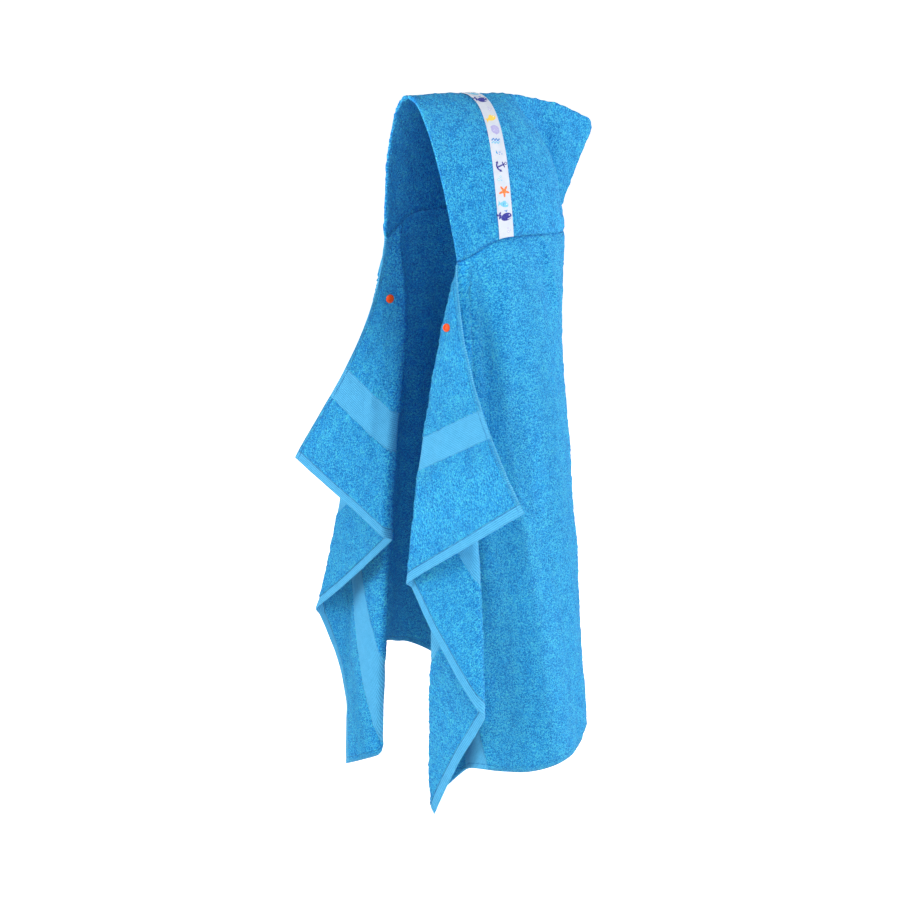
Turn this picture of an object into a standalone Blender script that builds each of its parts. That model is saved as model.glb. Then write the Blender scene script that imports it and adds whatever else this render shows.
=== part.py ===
"""Hooded bath towel, hanging open as if worn: a terry towel, a terry hood, a printed ribbon and a snap.

Metres, +Z up. The origin is the inside of the hood's crown, where the wearer's head holds the towel up.
The wearer faces -Y, and +X is the wearer's left. Cloth is first worked out as a middle surface and then
given its wall, half to each side. On the flat towel, s runs along the long edge from the middle, with
the wearer's left at +s, and t runs from the seamed edge, t = 0, down to the bottom hem.
"""

import math
from collections import namedtuple

import bmesh
import bpy
import numpy as np
from mathutils import Matrix, Vector

# Sizes of the cut cloth
TOWEL_DROP = 0.718  # from the seamed long edge to the bottom hem
TOWEL_HALF = 0.640  # from the middle to a short end
SEAM_HALF = 0.280  # seam between hood and towel, from the nape to one end
TERRY_WALL = 0.003
RIBBON_WALL = 0.001
RIBBON_WIDTH = 0.022
RIBBON_GAP = 0.0005  # between the hood and the ribbon on it
SEAM_GAP = 0.0006  # between the edges that the seam joins
SNAP_GAP = 0.0005

# Plan of the body, one row for each distance below the seam, as worn
Section = namedtuple("Section", "below half_width centre_y back front squareness")
SECTIONS = (
    Section(0.00, 0.113, 0.045, 0.120, 0.165, 2.0),
    Section(0.06, 0.121, 0.045, 0.113, 0.150, 2.0),
    Section(0.16, 0.135, 0.045, 0.101, 0.136, 2.1),
    Section(0.30, 0.155, 0.045, 0.106, 0.128, 2.2),
    Section(0.50, 0.176, 0.045, 0.113, 0.126, 2.3),
    Section(0.72, 0.195, 0.045, 0.124, 0.125, 2.3),
    Section(0.84, 0.201, 0.045, 0.128, 0.125, 2.3),
)
NECK, HEM = SECTIONS[0], SECTIONS[5]

# Height of the seam: its ends, the rise above the ears, where that is, and how wide to each side
SEAM_Z = -0.204
EAR_RISE, EAR_AT, EAR_SPAN, NAPE_SPAN = 0.028, 0.74, 0.20, 0.62
LEVEL_FROM = 0.8  # share of the seam from which it is drawn back down to its end

# Rulings of the body lean to the hem over this distance below the seam, and at most this much further
LEAN_DROP, LEAN_MOST = 0.75, 1.2
DROP_SHARE = 0.992  # of the straight drop, as the creases take up some length

# Folds of the loose fronts. Each is a ruling from the fold centre on the seam to the edge of the cloth.
# Its outer end on the flat towel is (s, t), and x y z is where that end hangs. bow is how far the ruling
# sags sideways, halfway down where early is 1 and higher where it is more. root is how far from the fold
# centre to the seam's end the hanging fold starts, as a share. The cloth steps outward by step round the
# turn, and the facet after the fold bellies outward by belly at its edge.
Fold = namedtuple("Fold", "name s t x y z bow_x bow_y early root step belly")
# tab: seam between the fold centre and the seam's end; turn: angle round the body of the first fold;
# lift, lift_at, lift_span: how far the hem rides up, and where round the body, in degrees
Side = namedtuple("Side", "sign tab turn lift lift_at lift_span outward folds")
FOLD_ROUND = 0.009
FOLD_PULL = 8  # how closely the pull of the first fold keeps to it
ROOT_DROP, ROOT_REACH = 0.006, 0.034  # below the seam's end, and how far along the fold
TURN_NEAR, TURN_MOST = 0.004, 0.22  # the round of a fold near the fold centre, m and radians
LAYERS_PART = 0.09  # distance from the fold centre at which the layers are a full step apart
EASE_FROM, EASE_SHARE = 75, 0.08  # where the step eases out into the body, degrees and share of a step
SIDES = {
    "left": Side(
        1, 0.018, 165, 0.038, 140, 24, (0.17, -0.985, 0.0),
        (
            Fold("inner", 0.622, TOWEL_DROP, 0.073, -0.078, -0.978, -0.008, -0.019, 1, 0, 0.010, 0.0),
            Fold("outer", TOWEL_HALF, 0.49, 0.187, -0.065, -0.813, 0.0, 0.0, 1, 0, 0.010, 0.022),
            Fold("lapel", TOWEL_HALF, 0.25, 0.084, -0.124, -0.643, -0.008, -0.004, 1, 1, 0.014, 0.0),
            Fold("free edge", TOWEL_HALF, 0.0, 0.271, -0.060, -0.502, -0.020, -0.012, 1, 0, 0.0, 0.0),
        ),
    ),
    "right": Side(
        -1, 0.042, 148, 0.085, 118, 36, (0.177, -0.984, 0.0),
        (
            Fold("inner", 0.560, TOWEL_DROP, -0.104, -0.0495, -0.975, 0.0, 0.0, 1, 0, 0.010, 0.013),
            Fold("crease", TOWEL_HALF, 0.64, -0.204, -0.049, -0.937, -0.007, -0.010, 1, 0, 0.0, -0.009),
            Fold("outer", TOWEL_HALF, 0.46, -0.226, -0.091, -0.779, 0.006, 0.009, 0.5, 1.45, 0.010, 0.0),
            Fold("lapel", TOWEL_HALF, 0.21, -0.061, -0.061, -0.630, 0.005, 0.008, 2.5, 0, 0.016, 0.0),
            Fold("free edge", TOWEL_HALF, 0.0, -0.222, -0.121, -0.540, 0.037, 0.0, 1.5, 0, 0.0, 0.0),
        ),
    ),
}

# Soft drape of the body: hem_s is where the crease meets the hem, width is across it, depth is outward,
# so a trough has a depth below 0, and starts is how far below the seam it begins
Crease = namedtuple("Crease", "hem_s width depth starts")
CREASES = (
    Crease(0.555, 0.030, -0.010, 0.10),
    Crease(0.495, 0.034, 0.009, 0.05),
    Crease(0.420, 0.036, -0.008, 0.16),
    Crease(0.345, 0.040, 0.008, 0.12),
    Crease(0.262, 0.034, -0.004, 0.20),
    Crease(0.185, 0.038, -0.004, 0.06),
    Crease(0.100, 0.036, -0.012, 0.14),
    Crease(0.015, 0.042, 0.010, 0.10),
    Crease(-0.080, 0.038, -0.013, 0.18),
    Crease(-0.165, 0.040, 0.012, 0.08),
    Crease(-0.255, 0.036, -0.011, 0.15),
    Crease(-0.335, 0.042, 0.010, 0.10),
    Crease(-0.425, 0.038, -0.011, 0.17),
    Crease(-0.500, 0.034, 0.008, 0.12),
)

# Hood: the ridge runs from the rim to the peak, and the part behind the head hangs flat
RIDGE_FRONT_Y, RIDGE_LENGTH = -0.066, 0.301
RIDGE_Z, PEAK_DROP = 0.001, 0.060
# Back of the head, from its centre: at the nape, how much less low down, and how much less at the top
HEAD_CENTRE_Y, HEAD_REACH, HEAD_HOLLOW, HEAD_TAPER = 0.045, 0.120, 0.0086, 0.064
HEAD_SOFTNESS = 0.08  # how gently the round of the head runs into the flap, as a share of its reach
SOFT_UP = 0.2  # how far up the hood that softness takes to grow
HOLLOW_TO, TAPER_FROM = 0.75, 0.46  # how far up the hollow lasts and from where the taper starts
BACK_SWELL, BACK_SWELL_LESS = 0.006, 0.65  # how far the back seam stands out, and how much less at the top
BACK_SWELL_UP, BACK_SWELL_FROM = 0.14, 0.55  # grown to its full this far up, and starting this far back
# Powers that shape the arch: how it rises from the seam, how it comes forward, its rim and its back
RISE_POWER, FORWARD_POWER, RIM_POWER, BACK_POWER, BACK_ROUND = 2.1, 1.1, 0.45, 0.6, 1.7
ARCH_ROUND = 0.45  # share of the way back at which the pointed rim has become a round head
FLAP_FROM, FLAP_FULL = 0.3, 0.7  # shares of the way back where the flap's layers part
FLAP_RIDGE, FLAP_SEAM = 16, 20  # powers: how close to the ridge and the back seam the layers meet
FLAP_HALF = 0.0055  # half the space between the middles of the two layers of the flap
RIBBON_AT_SEAM, RIBBON_AT_RIDGE = 0.243, 0.315  # share of the way from rim to back seam
RIBBON_BOW = 0.038  # how much further back it lies a third of the way down
RIBBON_REACH = 0.996  # share of the way down to the seam

# Snap: where it sits on the flat lapels, and the turned profiles as (radius, height) pairs
SNAP_S, SNAP_T = 0.351, 0.030
SNAP_CLEAR = 1.1  # the cloth is felt for round the snap at this share of its radius
CAP_PROFILE = ((0.0060, 0.0), (0.0062, 0.0006), (0.0056, 0.0014), (0.0038, 0.0021), (0.0, 0.0024))
SOCKET_PROFILE = (
    (0.0055, 0.0), (0.0057, 0.0006), (0.0048, 0.0022), (0.0042, 0.0027), (0.0032, 0.0027),
    (0.0024, 0.0021), (0.0021, 0.0010), (0.0, 0.0010),
)
STUD_PROFILE = (
    (0.0055, 0.0), (0.0056, 0.0006), (0.0046, 0.0012), (0.0024, 0.0014), (0.0018, 0.0020),
    (0.0021, 0.0030), (0.0015, 0.0037), (0.0, 0.0039),
)

# Where the meshes are sampled: shares of each ruling, and angles beside each fold in degrees
TOWEL_ROWS = (0.0, 0.0476, 0.075, 0.1045, 0.16, 0.22, 0.29, 0.37, 0.46, 0.56, 0.67, 0.78, 0.89, 1.0)
BESIDE_FOLD = (0.5, 1.3, 2.6, 4.5)
BODY_COLUMNS = 33
SIDE_COLUMNS = 6
HOOD_ROWS, HOOD_COLUMNS = 23, 27
TURNED_SIDES = 20


def soft_step(start, end, x):
    """0 up to start, 1 from end, and a smooth rise between."""
    share = np.clip((x - start) / (end - start), 0, 1)
    return share * share * (3 - 2 * share)


def through(places, values, x):
    """A smooth curve through the values at the places."""
    places, values = np.array(places), np.array(values)
    slopes = np.gradient(values, places)
    i = np.clip(np.searchsorted(places, x, side="right") - 1, 0, len(places) - 2)
    span = places[i + 1] - places[i]
    share = (x - places[i]) / span
    rise = 3 * share**2 - 2 * share**3
    start_bend = (share**3 - 2 * share**2 + share) * span * slopes[i]
    end_bend = (share**3 - share**2) * span * slopes[i + 1]
    return values[i] * (1 - rise) + values[i + 1] * rise + start_bend + end_bend


def ring(angle, half_width, centre_y, back, front, squareness):
    """Plan outline of the body at an angle from the middle of the back, as x and y."""
    sine, cosine = np.sin(angle), np.cos(angle)
    power = 2 / squareness
    x = half_width * np.sign(sine) * np.abs(sine) ** power
    reach = np.where(cosine > 0, back, front)
    return x, centre_y + reach * np.sign(cosine) * np.abs(cosine) ** power


ANGLES = np.linspace(0, math.radians(170), 1701)
# Small steps over which slopes are taken
STEP_LENGTH, STEP_ANGLE, STEP_SHARE = 0.002, 0.01, 1e-3


def arc_lengths(section):
    x, y = ring(ANGLES, *section[1:])
    return np.append(0, np.cumsum(np.hypot(np.diff(x), np.diff(y))))


NECK_ARC, HEM_ARC = arc_lengths(NECK), arc_lengths(HEM)


def seam_point(s):
    """The hood seam's middle line at s along it, from the nape."""
    angle = np.interp(np.abs(s), NECK_ARC, ANGLES)
    x, y = ring(angle, *NECK[1:])
    along = np.abs(s) / SEAM_HALF
    span = np.where(along > EAR_AT, EAR_SPAN, NAPE_SPAN)
    rise = EAR_RISE * np.exp(-(((along - EAR_AT) / span) ** 2))
    end_rise = EAR_RISE * math.exp(-(((1 - EAR_AT) / EAR_SPAN) ** 2))
    z = SEAM_Z + rise - end_rise * soft_step(LEVEL_FROM, 1.0, along)
    return np.stack([np.sign(s) * x, y, z], -1)


def seam_normal(s):
    """The level direction straight out of the seam."""
    along = seam_point(s + STEP_LENGTH) - seam_point(s - STEP_LENGTH)
    normal = np.stack([along[..., 1], -along[..., 0], 0 * along[..., 0]], -1)
    return -normal / np.linalg.norm(normal, axis=-1, keepdims=True)


class Front:
    """One side of the towel: its half of the body, and the loose front that falls in folds."""

    def __init__(self, side):
        self.side = side
        self.sign = side.sign
        self.centre_s = SEAM_HALF - side.tab
        self.centre = seam_point(np.array(self.sign * self.centre_s))
        self.seam_end = seam_point(np.array(self.sign * SEAM_HALF))
        across = np.array([fold.s - self.centre_s for fold in side.folds])
        down = np.array([fold.t for fold in side.folds])
        self.fold_angles = np.arctan2(down, across)
        self.fold_lengths = np.hypot(across, down)
        self.corner_angle = math.atan2(TOWEL_DROP, TOWEL_HALF - self.centre_s)
        self.hem_to_fold = side.folds[0].s
        turn = np.interp(math.radians(side.turn), ANGLES, HEM_ARC)
        self.hem_scale = turn / self.hem_to_fold

    def ruling_length(self, angle):
        """From the fold centre to the edge of the flat cloth, at an angle from the seamed edge."""
        to_hem = TOWEL_DROP / np.sin(np.maximum(angle, 0.05))
        to_end = (TOWEL_HALF - self.centre_s) / np.cos(np.minimum(angle, 1.5))
        return np.where(angle > self.corner_angle, to_hem, to_end)

    def body(self, hem_s, top_s, below):
        """The body where the ruling from top_s on the seam to hem_s on the hem is at a distance below."""
        columns = [[getattr(row, name) for row in SECTIONS] for name in Section._fields]
        at = np.clip(below, 0, SECTIONS[-1].below)
        plan = [through(columns[0], column, at) for column in columns[1:]]
        top_angle = np.interp(top_s, NECK_ARC, ANGLES)
        hem_angle = np.interp(hem_s * self.hem_scale, HEM_ARC, ANGLES)
        angle = top_angle + (hem_angle - top_angle) * np.clip(below / LEAN_DROP, 0, LEAN_MOST)
        x, y = ring(angle, *plan)
        x_next, y_next = ring(angle + STEP_ANGLE, *plan)
        length = np.hypot(x_next - x, y_next - y)
        out_x, out_y = (y - y_next) / length, (x_next - x) / length
        out = self.drape(hem_s, below)
        x, y = x + out_x * out, y + out_y * out
        top = seam_point(top_s)
        run = np.hypot(x - top[..., 0], y - top[..., 1])
        drop = DROP_SHARE * np.sqrt(np.maximum(below**2 - run**2, 0))
        off_lift = (np.degrees(angle) - self.side.lift_at) / self.side.lift_span
        lift = self.side.lift * np.exp(-(off_lift**2)) * (below / TOWEL_DROP) ** 2
        return np.stack([self.sign * x, y, top[..., 2] - drop + lift], -1)

    def drape(self, hem_s, below):
        """How far the creases move the body outward."""
        total = 0
        for crease in CREASES:
            off = (hem_s - self.sign * crease.hem_s) / crease.width
            grown = soft_step(crease.starts, TOWEL_DROP, below)
            total = total + crease.depth * grown * np.exp(-(off**2))
        return total

    def fold_line(self, index, distance):
        """The line of one fold, or of the free edge, at a distance from the fold centre."""
        fold = self.side.folds[index]
        end = np.array([fold.x, fold.y, fold.z])
        tab = self.side.tab
        if fold.name == "free edge":
            share = np.clip((distance - tab) / (self.fold_lengths[index] - tab), 0, None)[..., None]
            start = seam_point(self.sign * (self.centre_s + np.clip(distance, 0, tab)))
            hang = (end - self.seam_end) * share
        else:
            share = (distance / self.fold_lengths[index])[..., None]
            root = (self.seam_end - np.array([0, 0, ROOT_DROP]) - self.centre) * fold.root
            start = self.centre + root * soft_step(0, ROOT_REACH, distance)[..., None]
            hang = (end - self.centre - root) * share
        most = fold.early**fold.early / (fold.early + 1) ** (fold.early + 1)
        sag = share * np.maximum(1 - share, 0) ** fold.early / most
        return start + hang + np.array([fold.bow_x, fold.bow_y, 0]) * sag

    def creased(self, angle, distance):
        """The front with sharp folds, at an angle from the seamed edge and a distance from the centre."""
        first = self.fold_angles[0]
        lines = [self.fold_line(i, distance) for i in range(len(self.side.folds))]
        top_s = self.centre_s + 0 * angle
        hem_s = self.centre_s + TOWEL_DROP / np.tan(np.maximum(angle, first))
        body = self.body(hem_s, top_s, distance)
        body_end = self.body(self.hem_to_fold + 0 * angle, top_s, distance)
        to_fold = np.clip((math.pi / 2 - angle) / (math.pi / 2 - first), 0, 1)[..., None]
        cloth = body + (lines[0] - body_end) * to_fold**FOLD_PULL
        for i, fold_angle in enumerate(self.fold_angles[:-1]):
            turn = fold_angle - self.fold_angles[i + 1]
            share = np.clip((fold_angle - angle) / turn, 0, 1)[..., None]
            chord = lines[i] - self.centre + (lines[i + 1] - lines[i]) * share
            flat = np.sqrt(1 - 2 * share * (1 - share) * (1 - math.cos(turn)))
            belly = self.side.folds[i].belly * (distance[..., None] / TOWEL_DROP) ** 3
            out = 4 * belly * share * (1 - share) * np.array(self.side.outward)
            facet = self.centre + chord / flat + out
            cloth = np.where((angle < fold_angle)[..., None], facet, cloth)
        return cloth

    def loose(self, angle, distance):
        """The front with its folds rounded and each layer clear of the last."""
        spread = np.minimum(FOLD_ROUND / np.maximum(distance, TURN_NEAR), TURN_MOST)
        offsets = np.linspace(-1, 1, 9)[1:-1]
        weights = np.cos(offsets * math.pi / 2) ** 2
        weights = weights / weights.sum()
        cloth = sum(w * self.creased(angle + o * spread, distance) for o, w in zip(offsets, weights))
        steps = np.array([fold.step for fold in self.side.folds])
        stepped = 0
        for step, fold_angle in zip(steps, self.fold_angles):
            past = np.clip((fold_angle - angle) / spread, -1, 1)
            stepped = stepped + step * (0.5 + 0.5 * np.sin(past * math.pi / 2))
        levels = np.cumsum(steps) - steps / 2
        places = [*self.fold_angles[::-1], math.radians(EASE_FROM), math.pi / 2]
        levels = [*levels[::-1], EASE_SHARE * steps[0], 0]
        outward = (stepped - np.interp(angle, places, levels)) * soft_step(0, LAYERS_PART, distance)
        return cloth + outward[..., None] * np.array(self.side.outward)

    def at_flat(self, s, t):
        """The loose front at a place on the flat towel."""
        across = np.abs(s) - self.centre_s
        return self.loose(np.arctan2(t, across), np.hypot(across, t))

    def columns(self):
        """Angles of the rulings that the mesh follows, from the free edge to the body."""
        folds = np.degrees(self.fold_angles)
        angles = {math.degrees(self.corner_angle), *folds[:-1]}
        for fold, at in zip(self.side.folds, folds):
            if fold.step:
                angles.update(at + beside for beside in BESIDE_FOLD)
                angles.update(at - beside for beside in BESIDE_FOLD)
        angles.update(np.linspace(90, folds[0] + BESIDE_FOLD[-1], SIDE_COLUMNS)[1:-1])
        for low, high in zip(folds[:0:-1], folds[-2::-1]):
            start = low if low == 0 else low + BESIDE_FOLD[-1]
            end = high - BESIDE_FOLD[-1]
            angles.update(np.linspace(start, end, max(2, round((end - start) / 6) + 1)))
        return np.radians(sorted(angles))


def towel_grid(left, right):
    """The towel's middle surface and normals, one column for each ruling, from left end to right end."""
    rows = np.array(TOWEL_ROWS)[:, None]
    points, normals = [], []
    for front in (left, right):
        angles = front.columns()
        if front.sign < 0:
            angles = angles[::-1]
        distance = rows * front.ruling_length(angles)
        cloth = front.loose(angles + 0 * distance, distance)
        facing = grid_normals(cloth)
        edge = 0 if front.sign > 0 else -1
        on_seam = distance[:, edge] <= front.side.tab * 1.01
        seam_s = front.sign * (front.centre_s + distance[on_seam, edge])
        facing[on_seam, edge] = seam_normal(seam_s)
        facing[0] = seam_normal(np.array(front.sign * front.centre_s))
        cloth[on_seam, edge] = seam_point(seam_s)
        cloth[0] = front.centre
        cloth[on_seam, edge, 2] -= SEAM_GAP / 2
        cloth[0, :, 2] = front.centre[2] - SEAM_GAP / 2
        points.append(cloth)
        normals.append(facing)
    stations = np.linspace(left.centre_s, -right.centre_s, BODY_COLUMNS)[1:-1]
    distance = rows * TOWEL_DROP + 0 * stations
    top_s = np.abs(stations) + 0 * distance
    halves = [front.body(top_s, top_s, distance) for front in (left, right)]
    body = np.where((stations > 0)[None, :, None], *halves)
    facing = grid_normals(body)
    facing[0] = seam_normal(stations)
    body[0, :, 2] -= SEAM_GAP / 2
    points.insert(1, body)
    normals.insert(1, facing)
    return np.concatenate(points, 1), np.concatenate(normals, 1)


def grid_normals(points):
    """Unit normals of a grid of points, outward on the towel and on the hood."""
    down = np.gradient(points, axis=0)
    across = np.gradient(points, axis=1)
    normals = np.cross(down, across)
    length = np.linalg.norm(normals, axis=-1, keepdims=True)
    return normals / np.maximum(length, 1e-12)


def hood_point(share, across):
    """The hood's middle surface: share runs from rim to back seam, across from -1 at the right seam
    over the ridge at 0 to 1 at the left seam."""
    up = 1 - np.abs(across) ** RISE_POWER
    seam = seam_point(SEAM_HALF * (1 - share))
    ridge_y = RIDGE_FRONT_Y + RIDGE_LENGTH * share
    ridge_z = RIDGE_Z - PEAK_DROP * share**3
    y = seam[..., 1] + (ridge_y - seam[..., 1]) * up**FORWARD_POWER
    grown = soft_step(0, BACK_SWELL_UP, up) * soft_step(BACK_SWELL_FROM, 1, share)
    y = y + BACK_SWELL * grown * (1 - BACK_SWELL_LESS * up)
    z = seam[..., 2] + (ridge_z - seam[..., 2]) * up
    hollow = HEAD_HOLLOW * np.sin(math.pi * np.clip(up / HOLLOW_TO, 0, 1))
    reach = HEAD_REACH - hollow - HEAD_TAPER * soft_step(TAPER_FROM, 1, up)
    behind = (y - HEAD_CENTRE_Y) / reach
    offsets = HEAD_SOFTNESS * np.linspace(-1, 1, 9) * soft_step(0, SOFT_UP, up)[..., None]
    round_head = np.sqrt(1 - np.clip(behind[..., None] + offsets, 0, 1) ** 2).mean(-1)
    narrowing = np.where(seam[..., 1] > HEAD_CENTRE_Y, 1, seam[..., 0] / NECK.half_width)
    pointed, round_top = (1 - up) ** RIM_POWER, np.clip(1 - up**BACK_ROUND, 0, 1) ** BACK_POWER
    arch = pointed + (round_top - pointed) * soft_step(0, ARCH_ROUND, share)
    half_width = NECK.half_width * narrowing * round_head * arch
    meeting = np.clip((1 - up**FLAP_RIDGE) * (1 - share**FLAP_SEAM), 0, 1)
    flap = FLAP_HALF * np.sqrt(meeting) * soft_step(FLAP_FROM, FLAP_FULL, share)
    return np.stack([np.sign(across) * np.hypot(half_width, flap), y, z], -1)


def ribbon_share(across):
    """Where the ribbon's middle lies between rim and back seam, from the ridge at 0 to the seams at 1."""
    down = np.abs(across)
    bow = RIBBON_BOW * 27 / 4 * down * (1 - down) ** 2
    return RIBBON_AT_RIDGE + (RIBBON_AT_SEAM - RIBBON_AT_RIDGE) * down + bow


def hood_grid(share, across):
    points = hood_point(share, across)
    small = STEP_SHARE
    back, on = np.maximum(share - small, 0), np.minimum(share + small, 1)
    right, left = np.maximum(across - small, -1), np.minimum(across + small, 1)
    along = hood_point(on, across) - hood_point(back, across)
    over = hood_point(share, left) - hood_point(share, right)
    normals = np.cross(over, along)
    size = np.abs(across)
    higher, lower = np.maximum(size - small, 0), np.minimum(size + small, 1)
    down_seam = hood_point(share, lower) - hood_point(share, higher)
    backward = np.stack([0 * share, -down_seam[..., 2], down_seam[..., 1]], -1)
    at_back = share > 1 - 1e-9
    normals = np.where(at_back[..., None], backward, normals)
    points[..., 0] = np.where(at_back, 0, points[..., 0])
    normals /= np.maximum(np.linalg.norm(normals, axis=-1, keepdims=True), 1e-12)
    return points, normals


def material(name, colour, roughness):
    made = bpy.data.materials.new(name)
    made.use_nodes = True
    shader = made.node_tree.nodes["Principled BSDF"]
    shader.inputs["Base Color"].default_value = (*colour, 1)
    shader.inputs["Roughness"].default_value = roughness
    shader.inputs["Metallic"].default_value = 0
    made.diffuse_color = (*colour, 1)
    return made


def add_object(name, vertices, faces, look):
    """A closed mesh object, its coincident points joined and its faces turned outward."""
    mesh = bpy.data.meshes.new(name)
    mesh.from_pydata([tuple(v) for v in vertices], [], faces)
    edit = bmesh.new()
    edit.from_mesh(mesh)
    bmesh.ops.remove_doubles(edit, verts=edit.verts, dist=2e-6)
    bmesh.ops.dissolve_degenerate(edit, edges=edit.edges, dist=1e-6)
    bmesh.ops.recalc_face_normals(edit, faces=edit.faces)
    edit.to_mesh(mesh)
    edit.free()
    mesh.materials.append(look)
    mesh.shade_smooth()
    mesh.set_sharp_from_angle(angle=math.radians(50))
    made = bpy.data.objects.new(name, mesh)
    bpy.context.scene.collection.objects.link(made)
    return made


def walled(name, points, normals, low, high, look, zipped=False):
    """A closed wall between the grid moved by low and by high along its normals. The halves of a zipped
    grid's last row lie on each other, so they need no end face."""
    rows, columns = points.shape[:2]
    vertices = np.concatenate([(points + normals * side).reshape(-1, 3) for side in (high, low)])
    index = np.arange(rows * columns).reshape(rows, columns)
    under = index + rows * columns
    faces = []
    for r in range(rows - 1):
        for c in range(columns - 1):
            faces.append((index[r, c], index[r + 1, c], index[r + 1, c + 1], index[r, c + 1]))
            faces.append((under[r, c], under[r, c + 1], under[r + 1, c + 1], under[r + 1, c]))
    loop = [*index[0, :-1], *index[:-1, -1], *index[-1, :0:-1], *index[:0:-1, 0]]
    for a, b in zip(loop, loop[1:] + loop[:1]):
        if not (zipped and min(a, b) >= index[-1, 0]):
            faces.append((a, b, b + rows * columns, a + rows * columns))
    return add_object(name, vertices, [tuple(int(i) for i in face) for face in faces], look)


def turned(name, profile, centre, axis, look):
    """A round piece standing on its flat base at the centre, along the axis."""
    rings = [(radius, height) for radius, height in profile if radius > 0]
    steps = np.linspace(0, 2 * math.pi, TURNED_SIDES, endpoint=False)
    vertices = [(r * math.cos(a), r * math.sin(a), height) for r, height in rings for a in steps]
    base, top = len(vertices), len(vertices) + 1
    vertices += [(0, 0, 0), (0, 0, profile[-1][1])]
    faces = []
    for i in range(TURNED_SIDES):
        j = (i + 1) % TURNED_SIDES
        faces.append((base, j, i))
        for k in range(len(rings) - 1):
            low, high = k * TURNED_SIDES, (k + 1) * TURNED_SIDES
            faces.append((low + i, low + j, high + j, high + i))
        last = (len(rings) - 1) * TURNED_SIDES
        faces.append((last + i, last + j, top))
    made = add_object(name, vertices, faces, look)
    turn = Vector((0, 0, 1)).rotation_difference(Vector(axis)).to_matrix().to_4x4()
    made.matrix_world = Matrix.Translation(Vector(centre)) @ turn
    return made


def snap_seat(front, face):
    """Centre and direction of a snap half on one face of the lapel, clear of the cloth."""
    middle = front.at_flat(np.array(SNAP_S), np.array(SNAP_T))
    along = front.at_flat(np.array(SNAP_S + STEP_LENGTH), np.array(SNAP_T)) - middle
    down = front.at_flat(np.array(SNAP_S), np.array(SNAP_T + STEP_LENGTH)) - middle
    normal = np.cross(along, down) * front.sign * face
    normal /= np.linalg.norm(normal)
    steps = np.linspace(0, 2 * math.pi, TURNED_SIDES, endpoint=False)
    radius = SNAP_CLEAR * CAP_PROFILE[1][0]
    rim = front.at_flat(SNAP_S + radius * np.cos(steps), SNAP_T + radius * np.sin(steps))
    proud = max(0, ((rim - middle) @ normal).max())
    return middle + normal * (TERRY_WALL / 2 + proud + SNAP_GAP), normal


def build():
    for old in list(bpy.data.objects):
        bpy.data.objects.remove(old, do_unlink=True)
    terry = material("terry_blue", (0.045, 0.355, 0.745), 0.95)
    hood_terry = material("terry_blue_hood", (0.045, 0.355, 0.745), 0.95)
    ribbon_white = material("ribbon_white", (0.80, 0.86, 0.92), 0.6)
    snap_orange = material("snap_orange", (0.90, 0.10, 0.02), 0.35)
    left, right = Front(SIDES["left"]), Front(SIDES["right"])

    points, normals = towel_grid(left, right)
    walled("towel", points, normals, -TERRY_WALL / 2, TERRY_WALL / 2, terry)

    share, across = np.meshgrid(np.linspace(0, 1, HOOD_ROWS), np.linspace(-1, 1, HOOD_COLUMNS), indexing="ij")
    points, normals = hood_grid(share, across)
    for edge, sign in ((0, -1), (-1, 1)):
        normals[:, edge] = seam_normal(sign * SEAM_HALF * (1 - share[:, edge]))
        points[:, edge, 2] += SEAM_GAP / 2
    walled("hood", points, normals, -TERRY_WALL / 2, TERRY_WALL / 2, hood_terry, zipped=True)

    along_ribbon = across[0] * RIBBON_REACH
    centre = ribbon_share(along_ribbon)
    half = RIBBON_WIDTH / RIDGE_LENGTH / 2
    share, across = np.meshgrid(np.linspace(-half, half, 4), along_ribbon, indexing="ij")
    points, normals = hood_grid(share + centre, across)
    low = TERRY_WALL / 2 + RIBBON_GAP
    walled("ribbon", points, normals, low, low + RIBBON_WALL, ribbon_white)

    for name, profile, front, face in (
        ("snap_socket_left", SOCKET_PROFILE, left, -1),
        ("snap_cap_left", CAP_PROFILE, left, 1),
        ("snap_cap_right", CAP_PROFILE, right, -1),
        ("snap_stud_right", STUD_PROFILE, right, 1),
    ):
        seat, direction = snap_seat(front, face)
        turned(name, profile, seat, direction, snap_orange)


build()
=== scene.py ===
"""Looks of the hooded towel: terry, woven bands, hems, stitching, the printed ribbon and the snaps.

Metres, +Z up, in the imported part's frame: the origin is the inside of the hood's crown, the wearer faces
-Y and +X is the wearer's left. On the flat towel, s runs along the long edge from its middle, with the
wearer's left at +s, and t runs from the seamed edge, t = 0, down to the bottom hem. The cloth follows the
same shape as the part's solids, sampled finely, and its texture is laid out in s and t.
"""

import math
from collections import namedtuple

import bpy
import numpy as np
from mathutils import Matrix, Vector, geometry


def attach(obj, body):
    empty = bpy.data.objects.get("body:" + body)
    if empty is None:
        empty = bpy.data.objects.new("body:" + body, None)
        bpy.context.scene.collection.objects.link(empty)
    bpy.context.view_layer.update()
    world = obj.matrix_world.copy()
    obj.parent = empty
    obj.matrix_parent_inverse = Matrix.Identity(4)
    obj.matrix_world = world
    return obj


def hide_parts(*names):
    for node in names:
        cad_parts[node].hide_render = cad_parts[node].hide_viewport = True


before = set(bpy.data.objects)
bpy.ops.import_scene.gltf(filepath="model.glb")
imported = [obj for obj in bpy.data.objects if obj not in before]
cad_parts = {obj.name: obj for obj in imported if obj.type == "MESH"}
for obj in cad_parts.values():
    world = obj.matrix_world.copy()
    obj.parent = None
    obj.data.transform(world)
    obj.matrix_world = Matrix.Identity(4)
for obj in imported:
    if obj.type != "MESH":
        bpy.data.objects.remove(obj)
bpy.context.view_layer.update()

# ---------------------------------------------------------------- shape of the cloth, as in the part

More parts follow.
